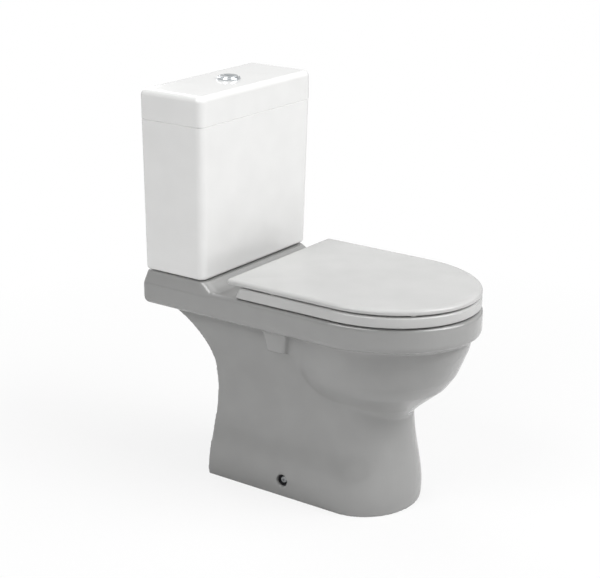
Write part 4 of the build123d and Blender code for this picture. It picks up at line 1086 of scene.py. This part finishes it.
CARRIED_OVER = {
    Finish.BUFFER_RUBBER: ("seat_buffers", "lid_buffers"),
    Finish.HINGE_METAL: ("hinge_posts", "hinge_pins", "hinge_studs"),
    Finish.BUSH_PLASTIC: ("ring_hinge_bushes", "lid_hinge_bushes"),
    Finish.NUT_PLASTIC: ("hinge_cone_washers", "hinge_wing_nuts", "bezel_nut",
                         "flush_valve_backnut", "fill_valve_nut"),
    Finish.SPRING_STEEL: ("full_button_spring", "half_button_spring"),
    Finish.FIXING_STEEL: ("coupling_bolts", "coupling_plate_washers", "coupling_wing_nuts",
                          "rocker_axles", "lever_pin", "side_screws"),
    Finish.VALVE_PLASTIC: ("flush_valve_base", "flush_valve_tower", "overflow_tube",
                           "fill_valve_body", "half_flush_rod", "fill_float_rod", "full_push_rod",
                           "half_push_rod"),
    Finish.LEVER_PLASTIC: ("rocker_frame", "full_flush_rocker", "half_flush_rocker", "lift_yoke",
                           "float_lever"),
    Finish.FLOAT_PLASTIC: ("half_flush_float", "fill_float"),
    Finish.SEAL_RUBBER: ("flush_valve_washer", "coupling_seal", "flush_seal", "fill_valve_washer",
                         "coupling_cone_washers", "hinge_gaskets"),
    Finish.BRACKET_PLASTIC: ("floor_brackets", "side_screw_washers"),
    Finish.PAN_GLAZE: ("pan",),
    Finish.CISTERN_GLAZE: ("cistern_tank", "cistern_lid"),
    Finish.SEAT_PLASTIC: ("seat_ring", "seat_lid"),
    Finish.BUTTON_CHROME: ("button_bezel", "full_flush_button", "half_flush_button"),
}


@dataclass
class Studio:
    """Pale floor, soft lamps and the camera at the photograph's angle."""

    azimuth: float = -54.86
    elevation: float = 18.35
    roll: float = 0.53
    distance: float = 3122.9
    target: tuple[float, float, float] = (-33.0, 42.0, 406.8)
    lens: float = 96.6
    sensor: float = 36.0
    floor_size: float = 40.0                         # metres
    floor_colour: str = "#ECECEC"
    floor_white: float = 0.8                         # the white share at the toilet, of 1
    floor_fade: tuple[float, float] = (0.45, 1.5)    # metres over which that share grows to 1
    world_strength: float = 0.08
    world_gloss: float = 0.64
    # name, place in metres, side length in metres, power in watts
    lamps: tuple[tuple[str, tuple[float, float, float], float, float], ...] = (
        ("key", (1.2, -3.0, 2.6), 2.2, 56.0),
        ("brow", (0.3, -2.2, 3.15), 2.0, 69.0),
        ("side", (-2.4, 0.4, 3.0), 2.0, 62.0),
        ("top", (0.2, 0.3, 3.4), 2.4, 16.0),
        ("rear", (1.6, 3.0, 2.2), 2.2, 38.0),
    )
    lamp_aim: tuple[float, float, float] = (0.0, 0.0, 0.4)    # metres

    def camera(self) -> None:
        """Place the camera on a circle round the target and turn it by its roll."""
        a, e, r = (math.radians(v) for v in (self.azimuth, self.elevation, self.roll))
        back = Vector((math.sin(a) * math.cos(e), -math.cos(a) * math.cos(e), math.sin(e)))
        right = Vector((math.cos(a), math.sin(a), 0.0))
        up = back.cross(right)
        across = right * math.cos(r) + up * math.sin(r)
        above = up * math.cos(r) - right * math.sin(r)
        data = bpy.data.cameras.new("camera")
        data.lens, data.sensor_width, data.sensor_fit = self.lens, self.sensor, "HORIZONTAL"
        eye = added("camera", data)
        place_eye = Matrix.Translation(Vector(self.target) * MM + back * self.distance * MM)
        eye.matrix_world = place_eye @ Matrix((across, above, back)).transposed().to_4x4()
        bpy.context.scene.camera = eye

    def lights(self) -> None:
        """Square area lamps that face the toilet, and an even world that the camera sees white."""
        for name, spot, side, power in self.lamps:
            data = bpy.data.lights.new(name, "AREA")
            data.size, data.energy = side, power
            aim = Vector(self.lamp_aim) - Vector(spot)
            turn = aim.to_track_quat("-Z", "Y").to_matrix().to_4x4()
            added(name, data).matrix_world = Matrix.Translation(spot) @ turn
        world = bpy.data.worlds.new("studio")
        world.use_nodes = True
        tree = world.node_tree
        tree.nodes.clear()
        path = wire(tree, "ShaderNodeLightPath")
        cast = wire(tree, "ShaderNodeMapRange",
                    {"Value": path.outputs["Is Glossy Ray"], "To Min": self.world_strength,
                     "To Max": self.world_gloss})
        level = wire(tree, "ShaderNodeMath", {0: path.outputs["Is Camera Ray"], 1: cast.outputs[0]},
                     operation="MAXIMUM")
        shade = wire(tree, "ShaderNodeBackground", {"Color": WHITE, "Strength": level.outputs[0]})
        wire(tree, "ShaderNodeOutputWorld", {"Surface": shade.outputs[0]})
        bpy.context.scene.world = world

    def floor(self) -> None:
        """A wide floor that keeps the shadow and turns white away from the toilet."""
        half = self.floor_size / 2
        corners = [(-half, -half, 0.0), (half, -half, 0.0), (half, half, 0.0), (-half, half, 0.0)]
        mesh = bpy.data.meshes.new("floor")
        mesh.from_pydata(corners, [], [(0, 1, 2, 3)])
        material, tree = empty_material("pale_floor")
        spot = wire(tree, "ShaderNodeTexCoord").outputs["Object"]
        away = wire(tree, "ShaderNodeVectorMath", {0: spot}, operation="LENGTH")
        share = wire(tree, "ShaderNodeMapRange",
                     {"Value": away.outputs["Value"], "From Min": self.floor_fade[0],
                      "From Max": self.floor_fade[1], "To Min": self.floor_white, "To Max": 1.0})
        path = wire(tree, "ShaderNodeLightPath")
        white = wire(tree, "ShaderNodeMath",
                     {0: share.outputs[0], 1: path.outputs["Is Camera Ray"]}, operation="MULTIPLY")
        matte = wire(tree, "ShaderNodeBsdfDiffuse", {"Color": linear(self.floor_colour)})
        glow = wire(tree, "ShaderNodeEmission", {"Color": WHITE, "Strength": 1.0})
        both = wire(tree, "ShaderNodeMixShader",
                    {0: white.outputs[0], 1: matte.outputs[0], 2: glow.outputs[0]})
        finish_material(tree, both)
        mesh.materials.append(material)
        added("floor", mesh)

    def build(self) -> None:
        """Set the camera, the lamps and the floor."""
        self.camera()
        self.lights()
        self.floor()


def main() -> None:
    """Dress the carried-over nodes, and build the pieces and the studio."""
    bpy.context.scene.view_settings.view_transform = "Standard"
    for finish, nodes in CARRIED_OVER.items():
        for node in nodes:
            dress(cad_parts[node], finish)
    Studio().build()
    Cistern().build()
    FlushButton().build()
    for key in ("full", "half"):
        ReturnSpring().build(f"{key}_spring_wound", f"{key}_button_spring", f"{key}_flush")
    Seat().build()
    for side, label in SIDES:
        SideCupShade().build(f"side_cup_shade_{label}", side)
    Pan().build()


if __name__ == "__main__":
    main()
